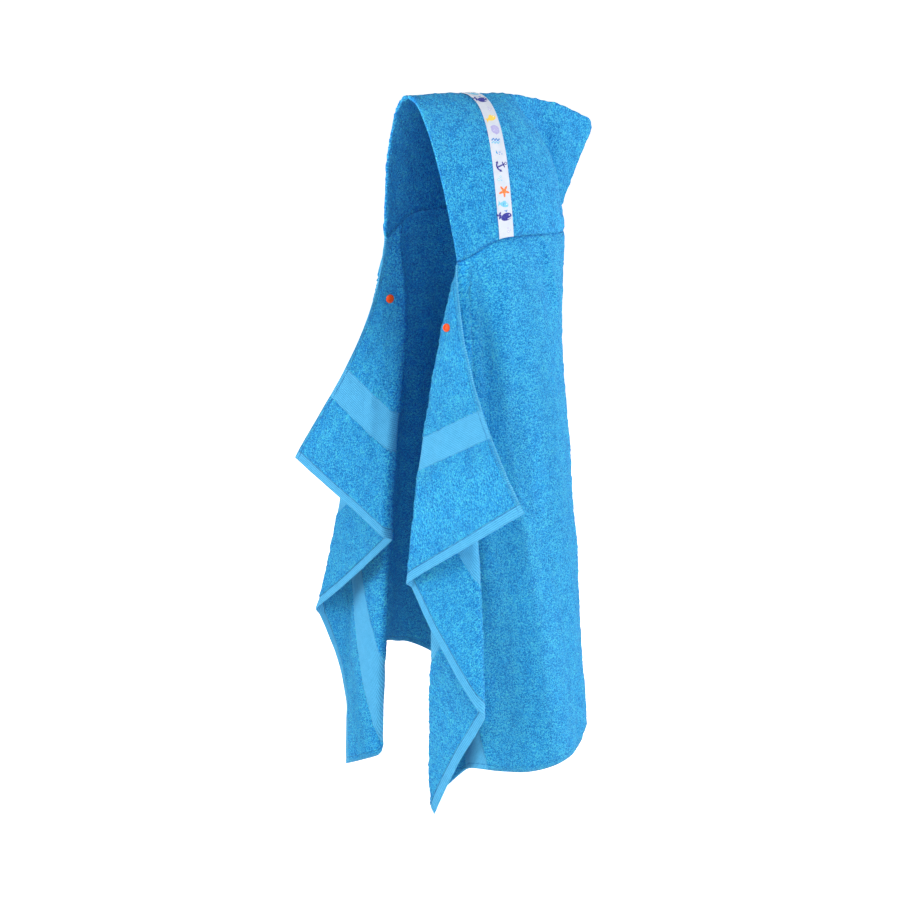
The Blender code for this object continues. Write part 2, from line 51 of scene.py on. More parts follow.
# Sizes of the cut cloth
TOWEL_DROP = 0.718  # from the seamed long edge to the bottom hem
TOWEL_HALF = 0.640  # from the middle to a short end
SEAM_HALF = 0.280  # seam between hood and towel, from the nape to one end
CLOTH_HALF = 0.0015  # half the thickness of the part's cloth
RIBBON_WIDTH = 0.022
SNAP_GAP = 0.0005  # between the cloth and a snap on it

# Plan of the body, one row for each distance below the seam, as worn
Section = namedtuple("Section", "below half_width centre_y back front squareness")
SECTIONS = (
    Section(0.00, 0.113, 0.045, 0.120, 0.165, 2.0),
    Section(0.06, 0.121, 0.045, 0.113, 0.150, 2.0),
    Section(0.16, 0.135, 0.045, 0.101, 0.136, 2.1),
    Section(0.30, 0.155, 0.045, 0.106, 0.128, 2.2),
    Section(0.50, 0.176, 0.045, 0.113, 0.126, 2.3),
    Section(0.72, 0.195, 0.045, 0.124, 0.125, 2.3),
    Section(0.84, 0.201, 0.045, 0.128, 0.125, 2.3),
)
NECK, HEM = SECTIONS[0], SECTIONS[5]

# Height of the seam: its ends, the rise above the ears, where that is, and how wide to each side
SEAM_Z = -0.204
EAR_RISE, EAR_AT, EAR_SPAN, NAPE_SPAN = 0.028, 0.74, 0.20, 0.62
LEVEL_FROM = 0.8  # share of the seam from which it is drawn back down to its end

# Rulings of the body lean to the hem over this distance below the seam, and at most this much further
LEAN_DROP, LEAN_MOST = 0.75, 1.2
DROP_SHARE = 0.992  # of the straight drop, as the creases take up some length

# Folds of the loose fronts. Each is a ruling from the fold centre on the seam to the edge of the cloth.
# Its outer end on the flat towel is (s, t), and x y z is where that end hangs. bow is how far the ruling
# sags sideways, halfway down where early is 1 and higher where it is more. root is how far from the fold
# centre to the seam's end the hanging fold starts, as a share. The cloth steps outward by step round the
# turn, and the facet after the fold bellies outward by belly at its edge.
Fold = namedtuple("Fold", "name s t x y z bow_x bow_y early root step belly")
# tab: seam between the fold centre and the seam's end; turn: angle round the body of the first fold;
# lift, lift_at, lift_span: how far the hem rides up, and where round the body, in degrees
Side = namedtuple("Side", "sign tab turn lift lift_at lift_span outward folds")
FOLD_ROUND = 0.009
FOLD_PULL = 8  # how closely the pull of the first fold keeps to it
ROOT_DROP, ROOT_REACH = 0.006, 0.034  # below the seam's end, and how far along the fold
TURN_NEAR, TURN_MOST = 0.004, 0.22  # the round of a fold near the fold centre, m and radians
LAYERS_PART = 0.09  # distance from the fold centre at which the layers are a full step apart
EASE_FROM, EASE_SHARE = 75, 0.08  # where the step eases out into the body, degrees and share of a step
SIDES = {
    "left": Side(
        1, 0.018, 165, 0.038, 140, 24, (0.17, -0.985, 0.0),
        (
            Fold("inner", 0.622, TOWEL_DROP, 0.073, -0.078, -0.978, -0.008, -0.019, 1, 0, 0.010, 0.0),
            Fold("outer", TOWEL_HALF, 0.49, 0.187, -0.065, -0.813, 0.0, 0.0, 1, 0, 0.010, 0.022),
            Fold("lapel", TOWEL_HALF, 0.25, 0.084, -0.124, -0.643, -0.008, -0.004, 1, 1, 0.014, 0.0),
            Fold("free edge", TOWEL_HALF, 0.0, 0.271, -0.060, -0.502, -0.020, -0.012, 1, 0, 0.0, 0.0),
        ),
    ),
    "right": Side(
        -1, 0.042, 148, 0.085, 118, 36, (0.177, -0.984, 0.0),
        (
            Fold("inner", 0.560, TOWEL_DROP, -0.104, -0.0495, -0.975, 0.0, 0.0, 1, 0, 0.010, 0.013),
            Fold("crease", TOWEL_HALF, 0.64, -0.204, -0.049, -0.937, -0.007, -0.010, 1, 0, 0.0, -0.009),
            Fold("outer", TOWEL_HALF, 0.46, -0.226, -0.091, -0.779, 0.006, 0.009, 0.5, 1.45, 0.010, 0.0),
            Fold("lapel", TOWEL_HALF, 0.21, -0.061, -0.061, -0.630, 0.005, 0.008, 2.5, 0, 0.016, 0.0),
            Fold("free edge", TOWEL_HALF, 0.0, -0.222, -0.121, -0.540, 0.037, 0.0, 1.5, 0, 0.0, 0.0),
        ),
    ),
}

# Soft drape of the body: hem_s is where the crease meets the hem, width is across it, depth is outward,
# so a trough has a depth below 0, and starts is how far below the seam it begins
Crease = namedtuple("Crease", "hem_s width depth starts")
CREASES = [Crease(*row) for row in (
    (0.555, 0.030, -0.010, 0.10), (0.495, 0.034, 0.009, 0.05), (0.420, 0.036, -0.008, 0.16),
    (0.345, 0.040, 0.008, 0.12), (0.262, 0.034, -0.004, 0.20), (0.185, 0.038, -0.004, 0.06),
    (0.100, 0.036, -0.012, 0.14), (0.015, 0.042, 0.010, 0.10), (-0.080, 0.038, -0.013, 0.18),
    (-0.165, 0.040, 0.012, 0.08), (-0.255, 0.036, -0.011, 0.15), (-0.335, 0.042, 0.010, 0.10),
    (-0.425, 0.038, -0.011, 0.17), (-0.500, 0.034, 0.008, 0.12),
)]

# Hood: the ridge runs from the rim to the peak, and the part behind the head hangs flat
RIDGE_FRONT_Y, RIDGE_LENGTH = -0.066, 0.301
RIDGE_Z, PEAK_DROP = 0.001, 0.060
# Back of the head, from its centre: at the nape, how much less low down, and how much less at the top
HEAD_CENTRE_Y, HEAD_REACH, HEAD_HOLLOW, HEAD_TAPER = 0.045, 0.120, 0.0086, 0.064
HEAD_SOFTNESS = 0.08  # how gently the round of the head runs into the flap, as a share of its reach
SOFT_UP = 0.2  # how far up the hood that softness takes to grow
HOLLOW_TO, TAPER_FROM = 0.75, 0.46  # how far up the hollow lasts and from where the taper starts
BACK_SWELL, BACK_SWELL_LESS = 0.006, 0.65  # how far the back seam stands out, and how much less at the top
BACK_SWELL_UP, BACK_SWELL_FROM = 0.14, 0.55  # grown to its full this far up, and starting this far back
# Powers that shape the arch: how it rises from the seam, how it comes forward, its rim and its back
RISE_POWER, FORWARD_POWER, RIM_POWER, BACK_POWER, BACK_ROUND = 2.1, 1.1, 0.45, 0.6, 1.7
ARCH_ROUND = 0.45  # share of the way back at which the pointed rim has become a round head
FLAP_FROM, FLAP_FULL = 0.3, 0.7  # shares of the way back where the flap's layers part
FLAP_RIDGE, FLAP_SEAM = 16, 20  # powers: how close to the ridge and the back seam the layers meet
FLAP_HALF = 0.0055  # half the space between the middles of the two layers of the flap
RIBBON_AT_SEAM, RIBBON_AT_RIDGE = 0.243, 0.315  # share of the way from rim to back seam
RIBBON_BOW = 0.038  # how much further back it lies a third of the way down
RIBBON_REACH = 0.996  # share of the way down to the seam

# Snap: where it sits on the flat lapels, and the turned profiles as (radius, height) pairs
SNAP_S, SNAP_T = 0.351, 0.030
SNAP_CLEAR = 1.1  # the cloth is felt for round the snap at this share of its radius
CAP_PROFILE = ((0.0060, 0.0), (0.0062, 0.0006), (0.0056, 0.0014), (0.0038, 0.0021), (0.0, 0.0024))
SOCKET_PROFILE = (
    (0.0055, 0.0), (0.0057, 0.0006), (0.0048, 0.0022), (0.0042, 0.0027), (0.0032, 0.0027),
    (0.0024, 0.0021), (0.0021, 0.0010), (0.0, 0.0010),
)
STUD_PROFILE = (
    (0.0055, 0.0), (0.0056, 0.0006), (0.0046, 0.0012), (0.0024, 0.0014), (0.0018, 0.0020),
    (0.0021, 0.0030), (0.0015, 0.0037), (0.0, 0.0039),
)

# ---------------------------------------------------------------- sizes of what only shows

# Woven parts of the towel, as distances from a short end or a long edge
BAND_NEAR, BAND_FAR = 0.110, 0.160
END_HEM, EDGE_HEM = 0.0135, 0.0095
OUTER_EDGE = 0.0016  # flat edge beyond the terry, on both faces
STITCH_IN = 0.0012  # from the hem's inner side back to its stitches
STITCH_DIP, STITCH_DIP_HALF = 0.0004, 0.0009  # depth and half width of the groove that the stitches lie in
# Half the thickness of flat weave, what terry adds to it, and half the thickness of a hem and of its edge
WOVEN_HALF, PILE, HEM_HALF, EDGE_HALF = 0.0008, 0.0010, 0.0013, 0.0006
# Distances over which the thickness changes at the bands, end hems and edge hems, to each side
BAND_STEP, END_STEP, EDGE_STEP = 0.0015, 0.001, 0.0008
EDGE_ROW = 0.0014  # row of points next to the edge of the cloth
FUZZ, NUB, NUB_CELL = 0.0005, 0.0010, 0.0050  # how far single loops and clumps of them stand in and out
WEAVE_WAVER = 0.00008  # how far the flat weave stands in and out
# Tuck of the cloth at the seam: its depth, how far it reaches, how uneven it is and over what width, and
# how softly it ends. The hood has a share of that depth.
SEAM_TUCK, TUCK_REACH, TUCK_WAVER, TUCK_CELL, TUCK_END = 0.0040, 0.0040, 0.35, 0.012, 0.004
HOOD_TUCK = 0.8
SNAP_PRESS, SNAP_PRESS_HALF = 0.0085, 0.0011  # how far round a snap the terry is pressed flat, and how flat
# Half the thickness of the hood's rolled rim, how far back it goes, and the share of it at the very edge
RIM_HALF, RIM_REACH, RIM_LEAST = 0.0027, 0.022, 0.2
INNER_SHARE = 0.6  # of the way to the other side, which the hood's inner face may take up

# How the worn cloth is pulled along its length, so the bands lie aslant: the pull at the band's middle on
# the left free edge, on the left lapel's fold and on the right front's first fold, and its change along s
PULL_EDGE, PULL_EDGE_SLOPE = 0.011, -0.20
PULL_FOLD, PULL_FOLD_SLOPE = -0.0235, -0.22
PULL_RIGHT = 0.0245
# Where along the cloth the pull grows and dies out, and how far past the left and the right fold it reaches
PULL_FROM, PULL_TO = (0.36, 0.47), (0.54, 0.615)
PULL_PAST_LEFT, PULL_PAST_RIGHT = 0.07, 0.2

# Soft lines on the cloth: a ridge has a depth above 0 and a trough below it. Each runs from one place to
# another, here both given as (s, t).
Furrow = namedtuple("Furrow", "side0 along0 side1 along1 width depth")
FURROWS = [Furrow(*row) for row in (
    (0.266, 0.009, 0.325, 0.171, 0.005, 0.0016), (0.271, 0.062, 0.360, 0.328, 0.014, -0.0075),
    (0.229, 0.057, 0.294, 0.240, 0.014, 0.0034), (0.154, 0.005, 0.129, 0.108, 0.0055, 0.0060),
    (0.168, 0.010, 0.150, 0.120, 0.016, -0.0030), (0.401, 0.405, 0.433, 0.604, 0.015, -0.0045),
    (0.331, 0.510, 0.378, 0.583, 0.018, -0.0028), (0.210, 0.200, 0.250, 0.420, 0.022, -0.0024),
    (-0.270, 0.040, -0.345, 0.330, 0.014, -0.0042), (-0.228, 0.050, -0.285, 0.260, 0.015, 0.0030),
    (-0.150, 0.006, -0.120, 0.130, 0.010, 0.0026), (-0.385, 0.400, -0.420, 0.630, 0.016, -0.0040),
    (-0.060, 0.180, -0.090, 0.420, 0.024, 0.0030), (0.040, 0.120, 0.060, 0.330, 0.020, -0.0026),
    (0.470, 0.070, 0.560, 0.150, 0.020, -0.0020), (-0.460, 0.060, -0.560, 0.120, 0.022, -0.0024),
)]
# The same on the hood, with places given as (share of the way back, across)
HOOD_FURROWS = [Furrow(*row) for row in (
    (0.700, 0.10, 0.720, 0.72, 0.0190, -0.0040), (0.830, 0.35, 0.880, 0.95, 0.0160, 0.0030),
    (0.720, -0.12, 0.740, -0.66, 0.0210, -0.0030), (0.850, -0.45, 0.800, -0.97, 0.0180, 0.0028),
)]
# Shares of a line's length over which it comes and goes, on the towel and on the hood
FADE, HOOD_FADE = (-0.15, 0.2, 0.75, 1.2), (-0.3, 0.15, 0.9, 1.15)

# Soft swells of the cloth as (height, width, random seed). On the towel, the first grows away from the
# seam over SWELL_GROWS, the second is everywhere and the third keeps within EDGE_REACH of the free edges.
TOWEL_SWELLS = ((0.0016, 0.075, 31), (0.0007, 0.026, 32), (0.0011, 0.034, 33))
SWELL_GROWS, EDGE_REACH = 0.05, 0.012
# On the hood they grow away from the seam and end from a share of the way back
HOOD_SWELLS = ((0.0014, 0.06, 41), (0.0007, 0.022, 42))
HOOD_SWELL_GROWS, HOOD_SWELL_ENDS = 0.02, 0.9

PEAK_ROUND = 0.013  # radius of the hood's peak, seen from the side
TOWEL_STEP, HOOD_STEP = 0.0045, 0.0030  # distances between the points of the towel and of the hood
HOOD_HALF = 0.23  # half the hood's cut width
RIM_ROWS = (0.0005, 0.0014, 0.0028, 0.0046)  # rows of points that make the rim round

# Ribbon: its faces above the middle of the hood's cloth, and the ink above its upper face
RIBBON_LOW, RIBBON_HIGH, RIBBON_BEVEL, INK_LIFT = 0.0021, 0.0029, 0.0005, 0.00012
RIBBON_WAVE, RIBBON_WAVE_CELL, RIBBON_DIP = 0.00022, 0.011, 0.0002  # waves of its edges, and their droop
PRINT_STEP = 0.0011  # how finely the ink follows the ribbon
PRINT_START, PRINT_END = 0.011, 0.009  # from the ribbon's ends to its first and last motif

# Stitches: spacing and half length along the row, radius, how far they bulge out of the cloth, and how
# much lower their ends are, as a share of that bulge
STITCH_EVERY, STITCH_REACH, STITCH_RADIUS, STITCH_BULGE = 0.0034, 0.0012, 0.00024, 0.00022
STITCH_ENDS_LOWER = 2.2
# Their height over the cloth, and from a row's ends to the towel's corners and to the seam
STITCH_LIFT, ROW_END = 0.0001, 0.004
RIBBON_STITCH_IN, RIBBON_ROW_ENDS = 0.0013, (0.004, 0.003)  # from the ribbon's sides and from its two ends
TURNED_SIDES, SNAP_SINK = 64, 0.0006  # sides of a snap, and how far its base goes into its seat

# UV maps: the flat cloth in metres, and one for baking, with one face over the other and a margin
LAYOUT, BAKE_LAYOUT, BAKE_MARGIN = "Cloth", "OFBake", 0.004

CAMERA_AZIMUTH, CAMERA_REACH, CAMERA_Z, CAMERA_AIM_Z = 57, 3.6, 0.58, -0.494
CAMERA_FOCUS, SENSOR = 3.008, 36  # focal length in picture widths, and the width in millimetres
WORLD_LIGHT = 0.06  # light from the background, which looks full white
# Floor: half its width, its height, how strongly it glows under the towel, and the distances over which it
# turns plain white
FLOOR_HALF, FLOOR_Z, FLOOR_GLOW, WHITE_FROM, WHITE_AT = 40, -1.3, 0.66, 0.6, 3.0
LAMP_ASPECT, LAMP_AIM_Z = 1.3, -0.5  # height of a lamp for its width, and the height it is aimed at
# name, azimuth in degrees, distance, height, width, watts
LAMPS = (
    ("key", 98, 2.7, -0.4, 1.3, 26),
    ("rim", 158, 2.7, -0.4, 1.3, 54),
    ("side", 70, 2.7, 0.2, 1.3, 32),
    ("front", 5, 2.7, 0.7, 1.3, 40),
    ("fill", -25, 2.7, 0.1, 1.3, 41),
    ("top", 60, 0.6, 2.2, 1.6, 25),
    ("back", 225, 2.7, 0.2, 1.3, 20),
)


def unit(vectors):
    """The vectors at length 1."""
    return vectors / np.maximum(np.linalg.norm(vectors, axis=-1, keepdims=True), 1e-12)


def soft_step(start, end, x):
    """0 up to start, 1 from end, and a smooth rise between."""
    share = np.clip((x - start) / (end - start), 0, 1)
    return share * share * (3 - 2 * share)


def through(places, values, x):
    """A smooth curve through the values at the places."""
    places, values = np.array(places), np.array(values)
    slopes = np.gradient(values, places)
    i = np.clip(np.searchsorted(places, x, side="right") - 1, 0, len(places) - 2)
    span = places[i + 1] - places[i]
    share = (x - places[i]) / span
    rise = 3 * share**2 - 2 * share**3
    start_bend = (share**3 - 2 * share**2 + share) * span * slopes[i]
    end_bend = (share**3 - share**2) * span * slopes[i + 1]
    return values[i] * (1 - rise) + values[i + 1] * rise + start_bend + end_bend


def ring(angle, half_width, centre_y, back, front, squareness):
    """Plan outline of the body at an angle from the middle of the back, as x and y."""
    sine, cosine = np.sin(angle), np.cos(angle)
    power = 2 / squareness
    x = half_width * np.sign(sine) * np.abs(sine) ** power
    reach = np.where(cosine > 0, back, front)
    return x, centre_y + reach * np.sign(cosine) * np.abs(cosine) ** power


ANGLES = np.linspace(0, math.radians(170), 1701)
# Small steps over which slopes are taken
STEP_LENGTH, STEP_ANGLE, STEP_SHARE = 0.002, 0.01, 1e-3


def arc_lengths(section):
    """Length round a section from the middle of the back to each of ANGLES."""
    x, y = ring(ANGLES, *section[1:])
    return np.append(0, np.cumsum(np.hypot(np.diff(x), np.diff(y))))


NECK_ARC, HEM_ARC = arc_lengths(NECK), arc_lengths(HEM)


def seam_point(s):
    """The hood seam's middle line at s along it, from the nape."""
    angle = np.interp(np.abs(s), NECK_ARC, ANGLES)
    x, y = ring(angle, *NECK[1:])
    along = np.abs(s) / SEAM_HALF
    span = np.where(along > EAR_AT, EAR_SPAN, NAPE_SPAN)
    rise = EAR_RISE * np.exp(-(((along - EAR_AT) / span) ** 2))
    end_rise = EAR_RISE * math.exp(-(((1 - EAR_AT) / EAR_SPAN) ** 2))
    z = SEAM_Z + rise - end_rise * soft_step(LEVEL_FROM, 1.0, along)
    return np.stack([np.sign(s) * x, y, z], -1)


def seam_normal(s):
    """The level direction straight out of the seam."""
    along = seam_point(s + STEP_LENGTH) - seam_point(s - STEP_LENGTH)
    return unit(np.stack([-along[..., 1], along[..., 0], 0 * along[..., 0]], -1))


class Front:
    """One side of the towel: its half of the body, and the loose front that falls in folds."""

    def __init__(self, side):
        self.side = side
        self.sign = side.sign
        self.centre_s = SEAM_HALF - side.tab
        self.centre = seam_point(np.array(self.sign * self.centre_s))
        self.seam_end = seam_point(np.array(self.sign * SEAM_HALF))
        across = np.array([fold.s - self.centre_s for fold in side.folds])
        down = np.array([fold.t for fold in side.folds])
        self.fold_angles = np.arctan2(down, across)
        self.fold_lengths = np.hypot(across, down)
        self.hem_to_fold = side.folds[0].s
        turn = np.interp(math.radians(side.turn), ANGLES, HEM_ARC)
        self.hem_scale = turn / self.hem_to_fold

    def body(self, hem_s, top_s, below):
        """The body where the ruling from top_s on the seam to hem_s on the hem is at a distance below."""
        columns = [[getattr(row, name) for row in SECTIONS] for name in Section._fields]
        at = np.clip(below, 0, SECTIONS[-1].below)
        plan = [through(columns[0], column, at) for column in columns[1:]]
        top_angle = np.interp(top_s, NECK_ARC, ANGLES)
        hem_angle = np.interp(hem_s * self.hem_scale, HEM_ARC, ANGLES)
        angle = top_angle + (hem_angle - top_angle) * np.clip(below / LEAN_DROP, 0, LEAN_MOST)
        x, y = ring(angle, *plan)
        x_next, y_next = ring(angle + STEP_ANGLE, *plan)
        length = np.hypot(x_next - x, y_next - y)
        out_x, out_y = (y - y_next) / length, (x_next - x) / length
        out = self.drape(hem_s, below)
        x, y = x + out_x * out, y + out_y * out
        top = seam_point(top_s)
        run = np.hypot(x - top[..., 0], y - top[..., 1])
        drop = DROP_SHARE * np.sqrt(np.maximum(below**2 - run**2, 0))
        off_lift = (np.degrees(angle) - self.side.lift_at) / self.side.lift_span
        lift = self.side.lift * np.exp(-(off_lift**2)) * (below / TOWEL_DROP) ** 2
        return np.stack([self.sign * x, y, top[..., 2] - drop + lift], -1)

    def drape(self, hem_s, below):
        """How far the creases move the body outward."""
        total = 0
        for crease in CREASES:
            off = (hem_s - self.sign * crease.hem_s) / crease.width
            grown = soft_step(crease.starts, TOWEL_DROP, below)
            total = total + crease.depth * grown * np.exp(-(off**2))
        return total

    def fold_line(self, index, distance):
        """The line of one fold, or of the free edge, at a distance from the fold centre."""
        fold = self.side.folds[index]
        end = np.array([fold.x, fold.y, fold.z])
        tab = self.side.tab
        if fold.name == "free edge":
            share = np.clip((distance - tab) / (self.fold_lengths[index] - tab), 0, None)[..., None]
            start = seam_point(self.sign * (self.centre_s + np.clip(distance, 0, tab)))
            hang = (end - self.seam_end) * share
        else:
            share = (distance / self.fold_lengths[index])[..., None]
            root = (self.seam_end - np.array([0, 0, ROOT_DROP]) - self.centre) * fold.root
            start = self.centre + root * soft_step(0, ROOT_REACH, distance)[..., None]
            hang = (end - self.centre - root) * share
        most = fold.early**fold.early / (fold.early + 1) ** (fold.early + 1)
        sag = share * np.maximum(1 - share, 0) ** fold.early / most
        return start + hang + np.array([fold.bow_x, fold.bow_y, 0]) * sag

    def creased(self, angle, distance):
        """The front with sharp folds, at an angle from the seamed edge and a distance from the centre."""
        first = self.fold_angles[0]
        lines = [self.fold_line(i, distance) for i in range(len(self.side.folds))]
        top_s = self.centre_s + 0 * angle
        hem_s = self.centre_s + TOWEL_DROP / np.tan(np.maximum(angle, first))
        body = self.body(hem_s, top_s, distance)
        body_end = self.body(self.hem_to_fold + 0 * angle, top_s, distance)
        to_fold = np.clip((math.pi / 2 - angle) / (math.pi / 2 - first), 0, 1)[..., None]
        cloth = body + (lines[0] - body_end) * to_fold**FOLD_PULL
        for i, fold_angle in enumerate(self.fold_angles[:-1]):
            turn = fold_angle - self.fold_angles[i + 1]
            share = np.clip((fold_angle - angle) / turn, 0, 1)[..., None]
            chord = lines[i] - self.centre + (lines[i + 1] - lines[i]) * share
            flat = np.sqrt(1 - 2 * share * (1 - share) * (1 - math.cos(turn)))
            belly = self.side.folds[i].belly * (distance[..., None] / TOWEL_DROP) ** 3
            out = 4 * belly * share * (1 - share) * np.array(self.side.outward)
            facet = self.centre + chord / flat + out
            cloth = np.where((angle < fold_angle)[..., None], facet, cloth)
        return cloth

    def loose(self, angle, distance):
        """The front with its folds rounded and each layer clear of the last."""
        spread = np.minimum(FOLD_ROUND / np.maximum(distance, TURN_NEAR), TURN_MOST)
        offsets = np.linspace(-1, 1, 9)[1:-1]
        weights = np.cos(offsets * math.pi / 2) ** 2
        weights = weights / weights.sum()
        cloth = sum(w * self.creased(angle + o * spread, distance) for o, w in zip(offsets, weights))
        steps = np.array([fold.step for fold in self.side.folds])
        stepped = 0
        for step, fold_angle in zip(steps, self.fold_angles):
            past = np.clip((fold_angle - angle) / spread, -1, 1)
            stepped = stepped + step * (0.5 + 0.5 * np.sin(past * math.pi / 2))
        levels = np.cumsum(steps) - steps / 2
        places = [*self.fold_angles[::-1], math.radians(EASE_FROM), math.pi / 2]
        levels = [*levels[::-1], EASE_SHARE * steps[0], 0]
        outward = (stepped - np.interp(angle, places, levels)) * soft_step(0, LAYERS_PART, distance)
        return cloth + outward[..., None] * np.array(self.side.outward)

    def at_flat(self, s, t):
        """The loose front at a place on the flat towel."""
        across = np.abs(s) - self.centre_s
        return self.loose(np.arctan2(t, across), np.hypot(across, t))


def hood_point(share, across):
    """The hood's middle surface: share runs from rim to back seam, across from -1 at the right seam
    over the ridge at 0 to 1 at the left seam."""
    up = 1 - np.abs(across) ** RISE_POWER
    seam = seam_point(SEAM_HALF * (1 - share))
    ridge_y = RIDGE_FRONT_Y + RIDGE_LENGTH * share
    ridge_z = RIDGE_Z - PEAK_DROP * share**3
    y = seam[..., 1] + (ridge_y - seam[..., 1]) * up**FORWARD_POWER
    grown = soft_step(0, BACK_SWELL_UP, up) * soft_step(BACK_SWELL_FROM, 1, share)
    y = y + BACK_SWELL * grown * (1 - BACK_SWELL_LESS * up)
    z = seam[..., 2] + (ridge_z - seam[..., 2]) * up
    hollow = HEAD_HOLLOW * np.sin(math.pi * np.clip(up / HOLLOW_TO, 0, 1))
    reach = HEAD_REACH - hollow - HEAD_TAPER * soft_step(TAPER_FROM, 1, up)
    behind = (y - HEAD_CENTRE_Y) / reach
    offsets = HEAD_SOFTNESS * np.linspace(-1, 1, 9) * soft_step(0, SOFT_UP, up)[..., None]
    round_head = np.sqrt(1 - np.clip(behind[..., None] + offsets, 0, 1) ** 2).mean(-1)
    narrowing = np.where(seam[..., 1] > HEAD_CENTRE_Y, 1, seam[..., 0] / NECK.half_width)
    pointed, round_top = (1 - up) ** RIM_POWER, np.clip(1 - up**BACK_ROUND, 0, 1) ** BACK_POWER
    arch = pointed + (round_top - pointed) * soft_step(0, ARCH_ROUND, share)
    half_width = NECK.half_width * narrowing * round_head * arch
    meeting = np.clip((1 - up**FLAP_RIDGE) * (1 - share**FLAP_SEAM), 0, 1)
    flap = FLAP_HALF * np.sqrt(meeting) * soft_step(FLAP_FROM, FLAP_FULL, share)
    return np.stack([np.sign(across) * np.hypot(half_width, flap), y, z], -1)


def ribbon_share(across):
    """Where the ribbon's middle lies between rim and back seam, from the ridge at 0 to the seams at 1."""
    down = np.abs(across)
    bow = RIBBON_BOW * 27 / 4 * down * (1 - down) ** 2
    return RIBBON_AT_RIDGE + (RIBBON_AT_SEAM - RIBBON_AT_RIDGE) * down + bow


def hood_grid(share, across):
    """Points of the hood's middle surface, and the directions out of its outer face."""
    points = hood_point(share, across)
    small = STEP_SHARE
    back, on = np.maximum(share - small, 0), np.minimum(share + small, 1)
    right, left = np.maximum(across - small, -1), np.minimum(across + small, 1)
    along = hood_point(on, across) - hood_point(back, across)
    over = hood_point(share, left) - hood_point(share, right)
    normals = np.cross(over, along)
    size = np.abs(across)
    higher, lower = np.maximum(size - small, 0), np.minimum(size + small, 1)
    down_seam = hood_point(share, lower) - hood_point(share, higher)
    backward = np.stack([0 * share, -down_seam[..., 2], down_seam[..., 1]], -1)
    at_back = share > 1 - 1e-9
    normals = np.where(at_back[..., None], backward, normals)
    points[..., 0] = np.where(at_back, 0, points[..., 0])
    return points, unit(normals)


LEFT, RIGHT = Front(SIDES["left"]), Front(SIDES["right"])


def towel_at(s, t):
    """The towel's middle surface at places on the flat cloth."""
    halves = []
    for front in (LEFT, RIGHT):
        on_body = np.minimum(np.abs(s), front.centre_s)
        body = front.body(on_body, on_body, t)
        halves.append(np.where((np.abs(s) < front.centre_s)[..., None], body, front.at_flat(s, t)))
    return np.where((s >= 0)[..., None], *halves)


def noise(x, y, cell, seed):
    """Smooth noise from -1 to 1 over places in metres, with bumps about one cell wide."""
    table = np.random.default_rng(seed).uniform(-1, 1, (256, 256))
    x, y = x / cell, y / cell
    i, j = np.floor(x).astype(int), np.floor(y).astype(int)
    u, v = soft_step(0, 1, x - i), soft_step(0, 1, y - j)
    i, j, i_next, j_next = i % 256, j % 256, (i + 1) % 256, (j + 1) % 256
    near = table[i, j] * (1 - u) + table[i_next, j] * u
    far = table[i, j_next] * (1 - u) + table[i_next, j_next] * u
    return near * (1 - v) + far * v


def fuzz(shape, seed):
    """Unrelated numbers from -1 to 1, one for each point of a grid."""
    return np.random.default_rng(seed).uniform(-1, 1, shape)


def between(x, low, high, soft):
    """1 from low to high and 0 outside, with a smooth change about soft wide on each side."""
    return soft_step(low - soft, low + soft, x) * (1 - soft_step(high - soft, high + soft, x))


def pulled(s, t):
    """Where along the flat towel a place of the weave has been pulled to in wear."""
    size = np.abs(s)
    off = size - (TOWEL_HALF - (BAND_NEAR + BAND_FAR) / 2)
    lapel = LEFT.side.folds[2]
    lapel_t = lapel.t * np.maximum(size - LEFT.centre_s, 1e-4) / (lapel.s - LEFT.centre_s)
    at_edge = PULL_EDGE + PULL_EDGE_SLOPE * off
    at_fold = PULL_FOLD + PULL_FOLD_SLOPE * off
    left = at_edge + (at_fold - at_edge) * np.clip(t / lapel_t, 0, 1)
    left = left * (1 - soft_step(0, PULL_PAST_LEFT, t - lapel_t))
    angle = np.arctan2(t, size - RIGHT.centre_s)
    inner, outer = RIGHT.fold_angles[0], RIGHT.fold_angles[2]
    past_right = soft_step(inner, inner + PULL_PAST_RIGHT, angle)
    right = PULL_RIGHT * soft_step(outer, inner, angle) * (1 - past_right)
    near_band = soft_step(*PULL_FROM, size) * (1 - soft_step(*PULL_TO, size))
    return s + np.sign(s) * near_band * np.where(s >= 0, left, right)


def furrowed(furrows, side, along, fade, scale=1):
    """How far soft lines move the cloth outward, at places given as the furrows' are. scale turns the
    first of the two measures into metres."""
    total = 0
    for furrow in furrows:
        share = (along - furrow.along0) / (furrow.along1 - furrow.along0)
        off = (side - furrow.side0 - (furrow.side1 - furrow.side0) * share) * scale / furrow.width
        shown = soft_step(fade[0], fade[1], share) * (1 - soft_step(fade[2], fade[3], share))
        total = total + furrow.depth * shown * np.exp(-(off**2))
    return total


def round_peak(points):
    """The hood's points with the corner of the peak rounded, seen from the side."""
    corner = hood_point(np.array(1.0), np.array(0.0))[1:]
    on_ridge = hood_point(np.array(0.97), np.array(0.0))[1:]
    on_seam = hood_point(np.array(1.0), np.array(0.35))[1:]
    out = []
    for a, b in ((on_ridge, corner), (corner, on_seam)):
        along = (b - a) / np.linalg.norm(b - a)
        out.append(np.array([-along[1], along[0]]))
    cosine = out[0] @ out[1]
    centre = corner - PEAK_ROUND / (1 + cosine) * (out[0] + out[1])
    off = points[..., 1:] - centre
    a, b = off @ out[0], off @ out[1]
    in_corner = (a > cosine * b) & (b > cosine * a)
    reach = np.maximum(np.linalg.norm(off, axis=-1), 1e-9)
    pull = np.where(in_corner, np.maximum(a, b) / reach, 1)
    rounded = points.copy()
    rounded[..., 1:] = centre + off * pull[..., None]
    return rounded


# ---------------------------------------------------------------- meshes


